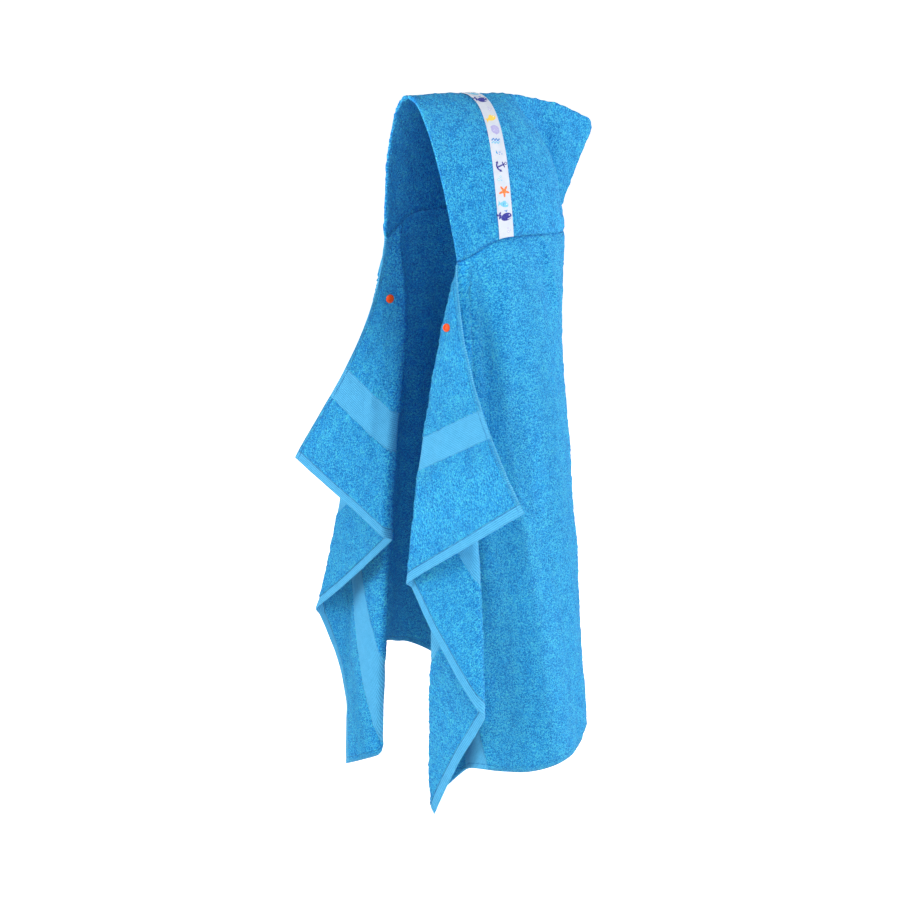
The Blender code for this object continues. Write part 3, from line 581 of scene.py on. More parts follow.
def add_mesh(name, vertices, faces, looks, face_looks=None):
    """A smooth mesh object. face_looks gives each face's place in the list of looks."""
    mesh = bpy.data.meshes.new(name)
    mesh.from_pydata(np.asarray(vertices).tolist(), [], faces)
    for look in looks:
        mesh.materials.append(look)
    if face_looks is not None:
        mesh.polygons.foreach_set("material_index", np.array(face_looks, np.int32))
    mesh.shade_smooth()
    made = bpy.data.objects.new(name, mesh)
    bpy.context.scene.collection.objects.link(made)
    return made


def add_layout(made, name, places):
    """A UV map from one place for each corner of each face."""
    made.data.uv_layers.new(name=name).uv.foreach_set("vector", places.astype(np.float32).ravel())


def shell(name, outer, inner, flat_x, flat_y, looks, zipped=False):
    """A closed cloth from the grids of its outer and inner face, with the same layout on both. The halves
    of a zipped grid's last row are joined to each other, so they need no end face."""
    rows, columns = outer.shape[:2]
    count = rows * columns
    index = np.arange(count).reshape(rows, columns)
    a, b, c, d = index[:-1, :-1], index[1:, :-1], index[1:, 1:], index[:-1, 1:]
    front = np.stack([a, b, c, d], -1).reshape(-1, 4)
    back = np.stack([a, d, c, b], -1).reshape(-1, 4) + count
    loop = np.array([*index[0, :-1], *index[:-1, -1], *index[-1, :0:-1], *index[:0:-1, 0]])
    after = np.roll(loop, -1)
    rim = np.stack([loop, after, after + count, loop + count], -1)
    if zipped:
        rim = rim[np.minimum(loop, after) < index[-1, 0]]
    faces = np.concatenate([front, back, rim])
    face_looks = np.repeat([0, 1, 1], [len(front), len(back), len(rim)])
    vertices = np.concatenate([outer.reshape(-1, 3), inner.reshape(-1, 3)])
    joined = np.arange(len(vertices))
    if zipped:
        last = index[-1]
        joined[last] = np.minimum(last, last[::-1])
        joined[last + count] = joined[last] + count
    used, renumbered = np.unique(joined, return_inverse=True)
    made = add_mesh(name, vertices[used], renumbered[faces].tolist(), looks, face_looks)
    corners = faces.ravel()
    flat = np.stack([flat_x, flat_y], -1).reshape(-1, 2)
    add_layout(made, LAYOUT, np.concatenate([flat, flat])[corners])
    low, high = flat.min(0), flat.max(0)
    lower = (BAKE_MARGIN + (1 - 2 * BAKE_MARGIN) * (flat - low) / (high - low)) * [1, 0.5]
    add_layout(made, BAKE_LAYOUT, np.concatenate([lower, lower + [0, 0.5]])[corners])
    return made


def spaced(low, high, step, extra):
    """Places from low to high about a step apart, with the extra ones among them."""
    places = np.linspace(low, high, round((high - low) / step) + 1)
    clear = np.abs(places[:, None] - np.array(extra)).min(1) > step * 0.3
    return np.sort(np.concatenate([places[clear], extra]))


def towel_half(s, t, face):
    """Half the towel's thickness on one face: woven where it is flat, and more with the pile. end and edge
    are how far a place is from a short end, and from a long edge that isn't seamed."""
    end = TOWEL_HALF - np.abs(s)
    edge = np.minimum(TOWEL_DROP - t, np.where(np.abs(s) > SEAM_HALF, t, TOWEL_DROP))
    on_end_hem = 1 - soft_step(END_HEM - END_STEP, END_HEM + END_STEP, end)
    on_edge_hem = 1 - soft_step(EDGE_HEM - EDGE_STEP, EDGE_HEM + EDGE_STEP, edge)
    flat = np.maximum(between(end, BAND_NEAR, BAND_FAR, BAND_STEP), on_end_hem)
    hem = np.maximum(on_end_hem, on_edge_hem)
    half = WOVEN_HALF + PILE * (1 - flat) + (HEM_HALF - WOVEN_HALF) * hem * flat
    stitches = np.minimum(np.abs(end - END_HEM + STITCH_IN), np.abs(edge - EDGE_HEM + STITCH_IN))
    half = half - STITCH_DIP * np.exp(-((stitches / STITCH_DIP_HALF) ** 2))
    nubs = FUZZ * fuzz(s.shape, 15 + face) + NUB * noise(s, t, NUB_CELL, 11 + face)
    half = half + nubs * (1 - flat) + WEAVE_WAVER * noise(s, t, NUB_CELL, 21 + face) * flat
    pressed = 1 - soft_step(0.75 * SNAP_PRESS, 1.3 * SNAP_PRESS, np.hypot(np.abs(s) - SNAP_S, t - SNAP_T))
    half = half + (SNAP_PRESS_HALF - half) * pressed
    return np.where(np.minimum(end, edge) < 1e-5, EDGE_HALF, half)


def towel_faces():
    """The flat places of the towel's grid, and its outer and inner face."""
    ends = [EDGE_ROW, END_HEM - STITCH_IN, END_HEM + END_STEP]
    ends += [band + step for band in (BAND_NEAR, BAND_FAR) for step in (-BAND_STEP, BAND_STEP)]
    marks = sorted([TOWEL_HALF - e for e in ends] + [e - TOWEL_HALF for e in ends] + [SEAM_HALF, -SEAM_HALF])
    along = spaced(-TOWEL_HALF, TOWEL_HALF, TOWEL_STEP, marks)[::-1]
    hem_marks = [EDGE_ROW, EDGE_HEM - STITCH_IN, EDGE_HEM + EDGE_STEP]
    down = spaced(0, TOWEL_DROP, TOWEL_STEP, hem_marks + [TOWEL_DROP - e for e in hem_marks[::-1]])
    t, s = np.meshgrid(down, along, indexing="ij")
    worn_s = pulled(s, t)
    points = towel_at(worn_s, t)
    normals = unit(np.cross(np.gradient(points, axis=0), np.gradient(points, axis=1)))
    seamed = np.abs(s[0]) <= SEAM_HALF
    points[0, seamed] = seam_point(s[0, seamed])
    normals[0, seamed] = seam_normal(s[0, seamed])
    swell, ripple, at_edge = (height * noise(s, t, cell, seed) for height, cell, seed in TOWEL_SWELLS)
    out = furrowed(FURROWS, worn_s, t, FADE) + swell * soft_step(0, SWELL_GROWS, t) + ripple
    out = out + at_edge * np.exp(-np.minimum(TOWEL_HALF - np.abs(s), TOWEL_DROP - t) / EDGE_REACH)
    seam_end = soft_step(SEAM_HALF - TUCK_END, SEAM_HALF + TUCK_END, np.abs(s))
    tuck = np.exp(-t / TUCK_REACH) * (1 - seam_end)
    tuck = tuck * (1 + TUCK_WAVER * noise(s, t, TUCK_CELL, 34))
    out = (out - SEAM_TUCK * tuck)[..., None]
    outer, inner = (points + normals * (out + f * towel_half(s, t, f)[..., None]) for f in (1, -1))
    return s, t, outer, inner


def hood(look):
    """The hood's cloth, thick and round along its rim and joined to itself up the back. Along it, flat_x
    is the length from the ridge."""
    rows = spaced(0, 1, HOOD_STEP / RIDGE_LENGTH, [0, *(row / RIDGE_LENGTH for row in RIM_ROWS), 1])
    columns = 2 * round(HOOD_HALF / HOOD_STEP) + 1
    share, across = np.meshgrid(rows, np.linspace(-1, 1, columns), indexing="ij")
    points, normals = hood_grid(share, across)
    for edge, sign in ((0, -1), (-1, 1)):
        normals[:, edge] = seam_normal(sign * SEAM_HALF * (1 - share[:, edge]))
    middle = columns // 2
    steps = np.linalg.norm(np.diff(points, axis=1), axis=-1)
    flat_x = np.concatenate([np.zeros((len(rows), 1)), np.cumsum(steps, 1)], 1)
    flat_x = flat_x - flat_x[:, middle : middle + 1]
    flat_y = RIDGE_LENGTH * share
    from_seam = np.abs(flat_x[:, :1] * (across < 0) + flat_x[:, -1:] * (across >= 0) - flat_x)
    out = sum(height * noise(flat_x, flat_y, cell, seed) for height, cell, seed in HOOD_SWELLS)
    out = out + furrowed(HOOD_FURROWS, share, across, HOOD_FADE, RIDGE_LENGTH)
    out = out * soft_step(0, HOOD_SWELL_GROWS, from_seam) * (1 - soft_step(HOOD_SWELL_ENDS, 1, share))
    out = out - SEAM_TUCK * HOOD_TUCK * np.exp(-from_seam / TUCK_REACH)
    in_rim = np.clip(1 - flat_y / RIM_HALF, 0, 1)
    roll = 1 + (RIM_HALF / (WOVEN_HALF + PILE) - 1) * (1 - soft_step(0, RIM_REACH, flat_y))
    roll = roll * np.maximum(np.sqrt(1 - in_rim**2), RIM_LEAST)
    grids = []
    for face in (1, -1):
        nubs = FUZZ * fuzz(share.shape, 55 + face) + NUB * noise(flat_x, flat_y, NUB_CELL, 51 + face)
        half = (WOVEN_HALF + PILE + nubs) * roll
        if face < 0:
            half = np.minimum(half, INNER_SHARE * np.abs(points[..., 0]) + 1e-4)
        grid = round_peak(points + normals * (out + face * half)[..., None])
        grid[-1] = (grid[-1] + grid[-1, ::-1]) / 2
        grid[-1, :, 0] = 0
        grids.append(grid)
    return shell("hood_cloth", *grids, flat_x - flat_x.min(), flat_y, [look, look], zipped=True)


RIBBON_ALONG = np.linspace(-RIBBON_REACH, RIBBON_REACH, 801)


def ribbon_place(along, aside, lift):
    """A place over the ribbon: across the hood, off its middle line in metres, and above the hood."""
    points, normals = hood_grid(ribbon_share(along) + aside / RIDGE_LENGTH, along)
    return points + normals * np.asarray(lift)[..., None], normals


def ribbon_lengths():
    """Length along the ribbon from the ridge to each of RIBBON_ALONG."""
    middle, _ = ribbon_place(RIBBON_ALONG, 0 * RIBBON_ALONG, RIBBON_HIGH)
    length = np.append(0, np.cumsum(np.linalg.norm(np.diff(middle, axis=0), axis=-1)))
    return length - length[len(length) // 2]


RIBBON_LENGTHS = ribbon_lengths()


def on_ribbon(x, y, lift):
    """A place on the ribbon: x along it from the ridge, and y off its middle, both in metres."""
    return ribbon_place(np.interp(x, RIBBON_LENGTHS, RIBBON_ALONG), y, lift)


def ribbon(look):
    """The ribbon: a thin closed strip, a little worn into soft waves along its edges."""
    half = RIBBON_WIDTH / 2
    along = np.linspace(RIBBON_LENGTHS[0], RIBBON_LENGTHS[-1], 301)
    bevel = half - RIBBON_BEVEL
    aside = np.array([-half, -bevel, *np.linspace(-0.8, 0.8, 9) * half, bevel, half])
    y, x = np.meshgrid(aside, along, indexing="ij")
    at_edge = np.abs(y) / half
    wave = RIBBON_WAVE * noise(x, y, RIBBON_WAVE_CELL, 61) * at_edge**2
    middle = (RIBBON_LOW + RIBBON_HIGH) / 2
    thick = (RIBBON_HIGH - RIBBON_LOW) / 2 * (1 - 0.7 * (at_edge > 0.999))
    outer, _ = on_ribbon(x, y, middle + thick + wave - RIBBON_DIP * at_edge**4)
    inner, _ = on_ribbon(x, y, middle - thick + wave - RIBBON_DIP * at_edge**4)
    return shell("ribbon_cloth", outer, inner, x - along[0], y + half, [look, look])


def stitches(name, centres, directions, normals, look):
    """Short rounded stitches, each a small arch of thread along its direction."""
    sides = np.cross(directions, normals)
    turns = np.linspace(0, 2 * math.pi, 6, endpoint=False)
    around = len(turns)
    vertices = []
    for place, size in ((-1, 0.25), (-0.75, 0.85), (0, 1), (0.75, 0.85), (1, 0.25)):
        arch = STITCH_BULGE * (1 - STITCH_ENDS_LOWER * place**2)
        middle = centres + directions * place * STITCH_REACH + normals * arch
        for turn in turns:
            ring_at = sides * math.cos(turn) + normals * math.sin(turn)
            vertices.append(middle + ring_at * size * STITCH_RADIUS)
    vertices = np.stack(vertices, 1)
    each = vertices.shape[1]
    faces = [tuple(range(around))[::-1], tuple(range(each - around, each))]
    for low in range(0, each - around, around):
        for i, j in zip(range(low, low + around), [*range(low + 1, low + around), low]):
            faces.append((i, j, j + around, i + around))
    every = [tuple(each * k + i for i in face) for k in range(len(centres)) for face in faces]
    return add_mesh(name, vertices.reshape(-1, 3), every, [look])


def hem_stitches(s, t, outer, inner, look):
    """Rows of stitches: along both end hems on each face, and along both edge hems on the inner face."""
    down, along = t[:, 0], s[0]
    end_in, edge_in = END_HEM - STITCH_IN, EDGE_HEM - STITCH_IN
    across = np.arange(ROW_END, TOWEL_DROP - ROW_END, STITCH_EVERY)
    length = np.arange(ROW_END - TOWEL_HALF, TOWEL_HALF - ROW_END, STITCH_EVERY)
    free = length[np.abs(length) > SEAM_HALF + ROW_END]
    rows = [(0 * across + sign * (TOWEL_HALF - end_in), across, True) for sign in (1, -1)]
    rows += [(length, 0 * length + TOWEL_DROP - edge_in, False), (free, 0 * free + edge_in, False)]
    centres, directions, normals = [], [], []
    for grid, face in ((outer, 1), (inner, -1)):
        for row_s, row_t, downward in rows:
            if face > 0 and not downward:
                continue
            centre = sampled(grid, down, along, row_s, row_t)
            by_s = sampled(grid, down, along, row_s + STITCH_REACH, row_t) - centre
            by_t = sampled(grid, down, along, row_s, row_t + STITCH_REACH) - centre
            normal = unit(np.cross(by_t, -by_s)) * face
            centres.append(centre + normal * STITCH_LIFT)
            directions.append(unit(by_t if downward else by_s))
            normals.append(normal)
    return stitches("hem_stitches", *map(np.concatenate, (centres, directions, normals)), look)


def sampled(grid, down, along, s, t):
    """The grid's points between its own places, which fall along s and rise down t."""
    row = np.interp(t, down, np.arange(len(down)))
    column = np.interp(-s, -along, np.arange(len(along)))
    i = np.clip(row.astype(int), 0, len(down) - 2)
    j = np.clip(column.astype(int), 0, len(along) - 2)
    u, v = (row - i)[:, None], (column - j)[:, None]
    near = grid[i, j] * (1 - v) + grid[i, j + 1] * v
    far = grid[i + 1, j] * (1 - v) + grid[i + 1, j + 1] * v
    return near * (1 - u) + far * u


def ribbon_stitches(look):
    half = RIBBON_WIDTH / 2 - RIBBON_STITCH_IN
    first, last = RIBBON_ROW_ENDS
    x = np.arange(RIBBON_LENGTHS[0] + first, RIBBON_LENGTHS[-1] - last, STITCH_EVERY)
    x, y = np.concatenate([x, x]), np.repeat([half, -half], len(x))
    centres, normals = on_ribbon(x, y, RIBBON_HIGH + 0 * x)
    ahead, _ = on_ribbon(x + STITCH_REACH, y, RIBBON_HIGH + 0 * x)
    return stitches("ribbon_stitches", centres, unit(ahead - centres), normals, look)


def rounded_profile(profile):
    """A turned profile with its corners cut twice, so that they are round."""
    places = np.array(profile)
    for _ in range(2):
        cut = [places[0]]
        for a, b in zip(places[:-1], places[1:]):
            cut += [0.75 * a + 0.25 * b, 0.25 * a + 0.75 * b]
        places = np.array([*cut, places[-1]])
    return places


def snap_piece(name, profile, front, face, look):
    """One half of the snap, turned finely and seated as on the part."""
    middle = front.at_flat(np.array(SNAP_S), np.array(SNAP_T))
    along = front.at_flat(np.array(SNAP_S + STEP_LENGTH), np.array(SNAP_T)) - middle
    down = front.at_flat(np.array(SNAP_S), np.array(SNAP_T + STEP_LENGTH)) - middle
    normal = unit(np.cross(along, down) * front.sign * face)
    steps = np.linspace(0, 2 * math.pi, 20, endpoint=False)
    radius = SNAP_CLEAR * CAP_PROFILE[1][0]
    rim = front.at_flat(SNAP_S + radius * np.cos(steps), SNAP_T + radius * np.sin(steps))
    seat = middle + normal * (CLOTH_HALF + max(0, ((rim - middle) @ normal).max()) + SNAP_GAP)
    turn = Vector((0, 0, 1)).rotation_difference(Vector(normal)).to_matrix()
    places = rounded_profile([(0.0, -SNAP_SINK), (profile[0][0], -SNAP_SINK), *profile])
    steps = np.linspace(0, 2 * math.pi, TURNED_SIDES, endpoint=False)
    vertices = [(r * math.cos(a), r * math.sin(a), h) for r, h in places[1:-1] for a in steps]
    base, top = len(vertices), len(vertices) + 1
    vertices += [(0, 0, places[0][1]), (0, 0, places[-1][1])]
    faces = []
    last = len(vertices) - 2 - TURNED_SIDES
    for i in range(TURNED_SIDES):
        j = (i + 1) % TURNED_SIDES
        faces += [(base, j, i), (last + i, last + j, top)]
        for low in range(0, last, TURNED_SIDES):
            faces.append((low + i, low + j, low + TURNED_SIDES + j, low + TURNED_SIDES + i))
    placed = np.array(vertices) @ np.array(turn).T + seat
    return add_mesh(name, placed, faces, [look])


# ---------------------------------------------------------------- the ribbon's print

# Drawings of what is printed, in millimetres from the middle of each, as outlines for each ink


def turned(a, b, turn):
    """The x and y of a place after a turn about the origin."""
    return a * math.cos(turn) - b * math.sin(turn), a * math.sin(turn) + b * math.cos(turn)


def oval(x, y, width, height, lean=0.0):
    turns = np.linspace(0, 2 * math.pi, 28, endpoint=False)
    a, b = turned(width / 2 * np.cos(turns), height / 2 * np.sin(turns), lean)
    return np.stack([x + a, y + b], -1)


def curve(turns, reach, height):
    """Places round a middle that stands at a height."""
    return np.stack([reach * np.cos(turns), reach * np.sin(turns) + height], -1)


def stripe(places, width):
    """A band of even width along a line of places, with narrowing ends."""
    places = np.array(places)
    along = unit(np.gradient(places, axis=0))
    side = np.stack([-along[:, 1], along[:, 0]], -1)
    taper = np.sqrt(np.clip(1 - np.linspace(-1, 1, len(places)) ** 8, 0.05, 1))[:, None]
    return np.concatenate([places + side * taper * width / 2, (places - side * taper * width / 2)[::-1]])


def anchor():
    flukes = [np.array([(sign * 4.6, -1.1), (sign * 2.2, -1.3), (sign * 3.6, -3.3)]) for sign in (1, -1)]
    return {"navy": [
        stripe([(0, 3.4 - 0.5 * k) for k in range(15)], 1.1),
        stripe([(0.5 * k - 2.4, 2.2) for k in range(11)], 1.0),
        stripe(curve(np.linspace(-2.45, -0.69, 17), 4.1, 0.6), 1.2),
        curve(np.linspace(0, 2 * math.pi, 25)[:-1], 1.15, 4.4), *flukes,
    ], "white": [oval(0, 4.4, 1.1, 1.1)]}


def whale():
    spout = [(1.5, 3.4), (1.3, 4.2), (0.7, 4.8), (0.0, 4.9)]
    return {"navy": [
        oval(0.6, 0.2, 9.2, 5.6, 0.06), oval(-4.4, 1.6, 3.6, 1.7, 0.9),
        oval(-5.8, 3.4, 2.9, 1.4, 2.5), oval(-4.0, 3.9, 2.9, 1.4, 0.75),
    ], "white": [oval(3.2, 0.9, 0.8, 0.8), stripe([(4.9, -0.6), (3.6, -1.2), (2.2, -1.5), (0.8, -1.6)], 0.5)],
        "blue": [stripe(spout, 0.7), stripe([(2 * 1.5 - x, y) for x, y in spout], 0.7)]}


def fish(ink, other):
    return {ink: [oval(0.8, 0, 7.6, 4.4), np.array([(-2.3, 0), (-5.2, 2.6), (-4.4, 0), (-5.2, -2.6)]),
                  oval(0.4, 2.3, 3.0, 1.5, 0.3)],
            other: [stripe([(0.6, 1.9), (0.2, 0.7), (0.2, -0.7), (0.6, -1.9)], 0.8)],
            "white": [oval(2.9, 0.6, 0.95, 0.95)]}


def star():
    dots = [oval(1.7 * math.sin(a), 1.7 * math.cos(a), 0.55, 0.55) for a in np.linspace(0, 5.03, 5)]
    turns = np.linspace(0, 2 * math.pi, 60, endpoint=False)
    reach = 1.9 + (5.1 - 1.9) * (0.5 + 0.5 * np.cos(5 * turns)) ** 1.6
    outline = np.stack([reach * np.sin(turns), reach * np.cos(turns)], -1)
    return {"orange": [outline], "yellow": dots}


def scallop():
    turns = np.linspace(-0.35, math.pi + 0.35, 60)
    reach = 4.3 * (1 + 0.07 * np.abs(np.sin(3.1 * turns)))
    fan = np.concatenate([curve(turns, reach, -0.9), [(-1.0, -3.5), (1.0, -3.5)]])
    ribs = [stripe([(0.4 * math.cos(a), -2.4), (3.4 * math.cos(a), 3.4 * math.sin(a) - 0.9)], 0.4)
            for a in (0.55, 1.06, 1.57, 2.08, 2.59)]
    return {"lilac": [fan, oval(0, -3.4, 4.2, 1.3)], "white": ribs}


def wave():
    x = np.linspace(-5.2, 5.2, 40)
    lines = [np.stack([x, 1.1 * np.sin(1.8 * x) + lift], -1) for lift in (1.7, -1.5)]
    return {"blue": [stripe(lines[0], 1.15)], "sky": [stripe(lines[1], 1.0)]}


def bubbles(ink):
    return {ink: [oval(-1.2, -0.6, 2.1, 2.1), oval(1.2, 1.1, 1.5, 1.5), oval(0.9, -1.9, 1.0, 1.0)],
            "white": [oval(-1.2, -0.6, 1.2, 1.2), oval(1.2, 1.1, 0.7, 0.7)]}


# What is printed along the ribbon in turn, how far off its middle in millimetres, its turn and its size
MOTIF_EVERY, MOTIF_SIZE = 0.0172, 1.7
Motif = namedtuple("Motif", "drawing aside turn size")
MOTIFS = [Motif(*row) for row in (
    (anchor(), 0.8, 0.35, 1.05),
    (bubbles("sky"), -3.0, 1.9, 1.0),
    (star(), 1.4, 2.2, 0.95),
    (fish("sky", "blue"), -1.2, 1.3, 0.95),
    (whale(), 0.6, 1.75, 1.05),
    (bubbles("lilac"), 3.2, 2.6, 0.9),
    (fish("yellow", "orange"), -0.6, 1.9, 1.05),
    (scallop(), 1.5, 0.5, 0.95),
    (wave(), -1.8, 1.45, 0.75),
    (bubbles("blue"), 2.8, 0.2, 0.8),
)]


def filled(outline, step):
    """Triangles that fill an outline, with places inside it no more than a step apart."""
    low, high = outline.min(0), outline.max(0)
    inside = [(x, y) for x in np.arange(low[0], high[0], step) for y in np.arange(low[1], high[1], step)]
    places = [Vector(place) for place in [*outline.tolist(), *inside]]
    found = geometry.delaunay_2d_cdt(places, [], [list(range(len(outline)))], 1, 1e-4)
    return np.array([tuple(place) for place in found[0]]), found[2]


def printed(looks):
    """The ribbon's motifs, as one thin piece for each colour of ink."""
    inks = {ink: ([], []) for ink in looks}
    first = RIBBON_LENGTHS[0] + PRINT_START
    for k in range(int((RIBBON_LENGTHS[-1] - PRINT_END - first) / MOTIF_EVERY) + 1):
        motif = MOTIFS[k % len(MOTIFS)]
        for ink, outlines in motif.drawing.items():
            for outline in outlines:
                places, faces = filled(np.asarray(outline, float), 1000 * PRINT_STEP)
                a, b = turned(*(MOTIF_SIZE * motif.size * places.T / 1000), motif.turn)
                x, y = first + k * MOTIF_EVERY + a, motif.aside / 1000 + b
                lift = INK_LIFT * (2 if ink in ("white", "yellow") else 1)
                vertices, ink_faces = inks[ink]
                start = sum(map(len, vertices))
                vertices.append(on_ribbon(x, y, RIBBON_HIGH + lift + 0 * x)[0])
                ink_faces += [tuple(start + i for i in face) for face in faces]
    return [add_mesh("print_" + ink, np.concatenate(v), f, [looks[ink]]) for ink, (v, f) in inks.items()]


# ---------------------------------------------------------------- materials

# Terry colours: the first is painted shade in the pits between the loops, the second the cloth's own blue,
# the third painted light on the loop tips. The pits' colour also paints the shade in the stitch grooves and
# the seam's tuck.
PIT_SHADE, BODY_BLUE, TIP_LIT = (0.0, 0.19, 0.67), (0.015, 0.43, 1.0), (0.105, 0.80, 1.0)
PIT_SHADE_AT, BODY_AT, TIP_LIT_AT = 0.18, 0.50, 0.82  # tones at which the terry has those colours
WOVEN_BLUE, WOVEN_DARK = (0.125, 0.58, 0.93), (0.030, 0.27, 0.58)
THREAD_BLUE, RIBBON_THREAD = (0.020, 0.26, 0.56), (0.80, 0.87, 0.95)
SHEEN_BLUE = (0.50, 0.82, 1.0)
RIBBON_DARK, RIBBON_WHITE = (0.54, 0.60, 0.70), (0.68, 0.72, 0.80)
SNAP_DARK, SNAP_RED = (0.80, 0.060, 0.003), (0.90, 0.095, 0.006)
FLOOR_PALE = (0.82, 0.82, 0.82)
INKS = {
    "navy": (0.020, 0.022, 0.26), "blue": (0.030, 0.22, 0.62), "sky": (0.17, 0.55, 0.80),
    "lilac": (0.42, 0.40, 0.70), "orange": (0.86, 0.19, 0.045), "yellow": (0.90, 0.62, 0.09),
    "white": (0.82, 0.86, 0.92),
}
SPECULAR = 0.25  # of all materials, so that the white background doesn't pale their colours
TERRY_ROUGHNESS, TERRY_SHEEN, TERRY_BUMP = 0.92, 0.12, 0.0026
FINE_BUMP = 0.0002  # relief of thread, ribbon and plastic

# Sizes of the terry's loops, their strands and its brushed patches, how far the loops wander, in loops, and
# how much closer they stand down the towel than along it
LOOP, STRAND, NAP = 0.0017, 0.0010, 0.022
LOOP_WANDER, LOOP_PACKING = 1.6, 1.3
# What strands, loops and each loop's own height add to the terry's height, and what height, each loop's own
# tone and the brushed patches add to its tone. The share from height is painted shade in the pits and painted
# light on the loop tips.
STRAND_HEIGHT, LOOP_HEIGHT, OWN_HEIGHT = 0.65, 0.40, 0.40
HEIGHT_SHADE, OWN_TONE, NAP_TONE, TONE_DOWN = 1.15, 0.46, 0.30, 0.51
# Painted shade over all of the hood's terry, so that the hood looks less lit than the towel
HOOD_SHADE = 0.02

# Weave: widths of its ribs and threads and how strongly each shows, and how far and wide the ribs waver
RIB, THREAD, RIB_SHOWS, THREAD_SHOWS = 0.0027, 0.0026, 0.30, 0.30
RIB_WAVER, RIB_WAVER_CELL = 0.0009, 0.0060
WEAVE_GRAIN, WEAVE_PATCH, PATCH_TONE = 0.0013, 0.011, 0.3
WEAVE_BUMP, WORN_SHARE = 0.30, 0.55  # relief of the weave beside the terry's, and its show at worn edges

# Edge between terry and weave: how ragged it is, and half of how soft it is at bands, hems and outer edge
RAGGED, RAGGED_CELL, HEM_RAGGED = 0.0026, 0.0030, 0.3
BAND_SOFT, HEM_SOFT, EDGE_SOFT = 0.0005, 0.0004, 0.0008

# Stitch line and seam: distances over which they fade, the noise that breaks them (width, from, to), how
# strong the painted shade in the stitch groove and in the seam's tuck is, and how deep the line is
LINE_FADES, LINE_BREAKS, LINE_SHADE, LINE_DEEP = (0.0003, 0.0011), (0.0050, 0.38, 0.56), 0.5, 0.4
SEAM_FADES, SEAM_BREAKS, SEAM_SHADE = (0.0006, 0.0024), (0.0090, 0.30, 0.60), 0.75

# Ribbon: widths of its ribs, of the threads across them and of its patches
RIBBON_RIB, RIBBON_CROSS, RIBBON_PATCH = 0.00085, 0.0005, 0.012
# Grain of thread, ink and plastic, per metre
THREAD_GRAIN, INK_GRAIN, PLASTIC_GRAIN = 1400, 1500, 350


class Value:
    """A number in a node tree, which plain arithmetic turns into more nodes."""

    def __init__(self, nodes, socket):
        self.nodes, self.socket = nodes, socket

    def __add__(self, other):
        return self.nodes.math("ADD", self, other)

    def __sub__(self, other):
        return self.nodes.math("SUBTRACT", self, other)

    def __rsub__(self, other):
        return self.nodes.math("SUBTRACT", other, self)

    def __mul__(self, other):
        return self.nodes.math("MULTIPLY", self, other)

    def __abs__(self):
        return self.nodes.math("ABSOLUTE", self)


class Nodes:
    """A node tree, and short calls that add nodes to it and link them."""

    def __init__(self, tree):
        self.tree = tree

    def node(self, kind, **settings):
        made = self.tree.nodes.new("ShaderNode" + kind)
        for name, value in settings.items():
            setattr(made, name, value)
        return made

    def link(self, socket, value):
        value = value.socket if isinstance(value, Value) else value
        if isinstance(value, bpy.types.NodeSocket):
            self.tree.links.new(value, socket)
        else:
            socket.default_value = value

    def made(self, kind, output, inputs, **settings):
        """An output of a new node whose inputs are linked or set by name or number."""
        made = self.node(kind, **settings)
        for name, value in inputs.items():
            self.link(made.inputs[name], value)
        return Value(self, made.outputs[output])

    def math(self, operation, *values):
        return self.made("Math", 0, dict(enumerate(values)), operation=operation)

    def most(self, a, b):
        return self.math("MAXIMUM", a, b)

    def least(self, a, b):
        return self.math("MINIMUM", a, b)

    def wave(self, value, length):
        return self.math("SINE", value * (2 * math.pi / length))

    def vector(self, operation, *values):
        return self.made("VectorMath", 0, dict(enumerate(values)), operation=operation)

    def rise(self, value, low, high):
        """0 up to low and 1 from high, smoothly."""
        inputs = {"Value": value, "From Min": low, "From Max": high}
        return self.made("MapRange", "Result", inputs, interpolation_type="SMOOTHSTEP")

    def fall(self, value, low, high):
        """1 up to low and 0 from high, smoothly."""
        return 1.0 - self.rise(value, low, high)

    def split(self, vector):
        """The first two numbers of a vector."""
        parts = self.node("SeparateXYZ")
        self.link(parts.inputs[0], vector)
        return Value(self, parts.outputs[0]), Value(self, parts.outputs[1])

    def layout(self):
        return self.made("UVMap", 0, {}, uv_map=LAYOUT)

    def on_piece(self):
        return self.made("TexCoord", "Object", {})

    def noise(self, place, cell, detail=2.0, roughness=0.5, output="Fac"):
        inputs = {"Vector": place, "Scale": 1 / cell, "Detail": detail, "Roughness": roughness}
        return self.made("TexNoise", output, inputs, noise_dimensions="2D")

    def patches(self, place, cell, low, high):
        """1 in patches about one cell wide and 0 between them."""
        return self.rise(self.noise(place, cell, 1.0), low, high)

    def grain(self, scale):
        """Fine noise through the piece itself, for thread, ink and plastic."""
        return self.made("TexNoise", "Fac", {"Vector": self.on_piece(), "Scale": scale})

    def cells(self, place, cell):
        """How far a place is from the middle of its cell, and a tone from 0 to 1 for each cell."""
        made = self.node("TexVoronoi", voronoi_dimensions="2D", feature="F1")
        self.link(made.inputs["Vector"], place)
        self.link(made.inputs["Scale"], 1 / cell)
        tone = self.made("SeparateColor", 0, {0: made.outputs["Color"]})
        return Value(self, made.outputs["Distance"]), tone

    def mix(self, share, a, b):
        a, b = ((*value, 1) if isinstance(value, tuple) else value for value in (a, b))
        return self.made("Mix", 2, {0: share, 6: a, 7: b}, data_type="RGBA")

    def colours(self, value, *stops):
        """A colour ramp through (place, colour) stops."""
        made = self.node("ValToRGB")
        ramp = made.color_ramp
        for place, colour in stops[1:-1]:
            ramp.elements.new(place).color = (*colour, 1)
        for element, (place, colour) in ((ramp.elements[0], stops[0]), (ramp.elements[-1], stops[-1])):
            element.position, element.color = place, (*colour, 1)
        self.link(made.inputs[0], value)
        return Value(self, made.outputs[0])

    def white_seen(self):
        """1 for the rays that see a white background, and 0 for those that only bring its light."""
        paths = self.node("LightPath")
        seen = self.most(paths.outputs["Is Camera Ray"], paths.outputs["Is Glossy Ray"])
        return self.most(seen, paths.outputs["Is Transmission Ray"])


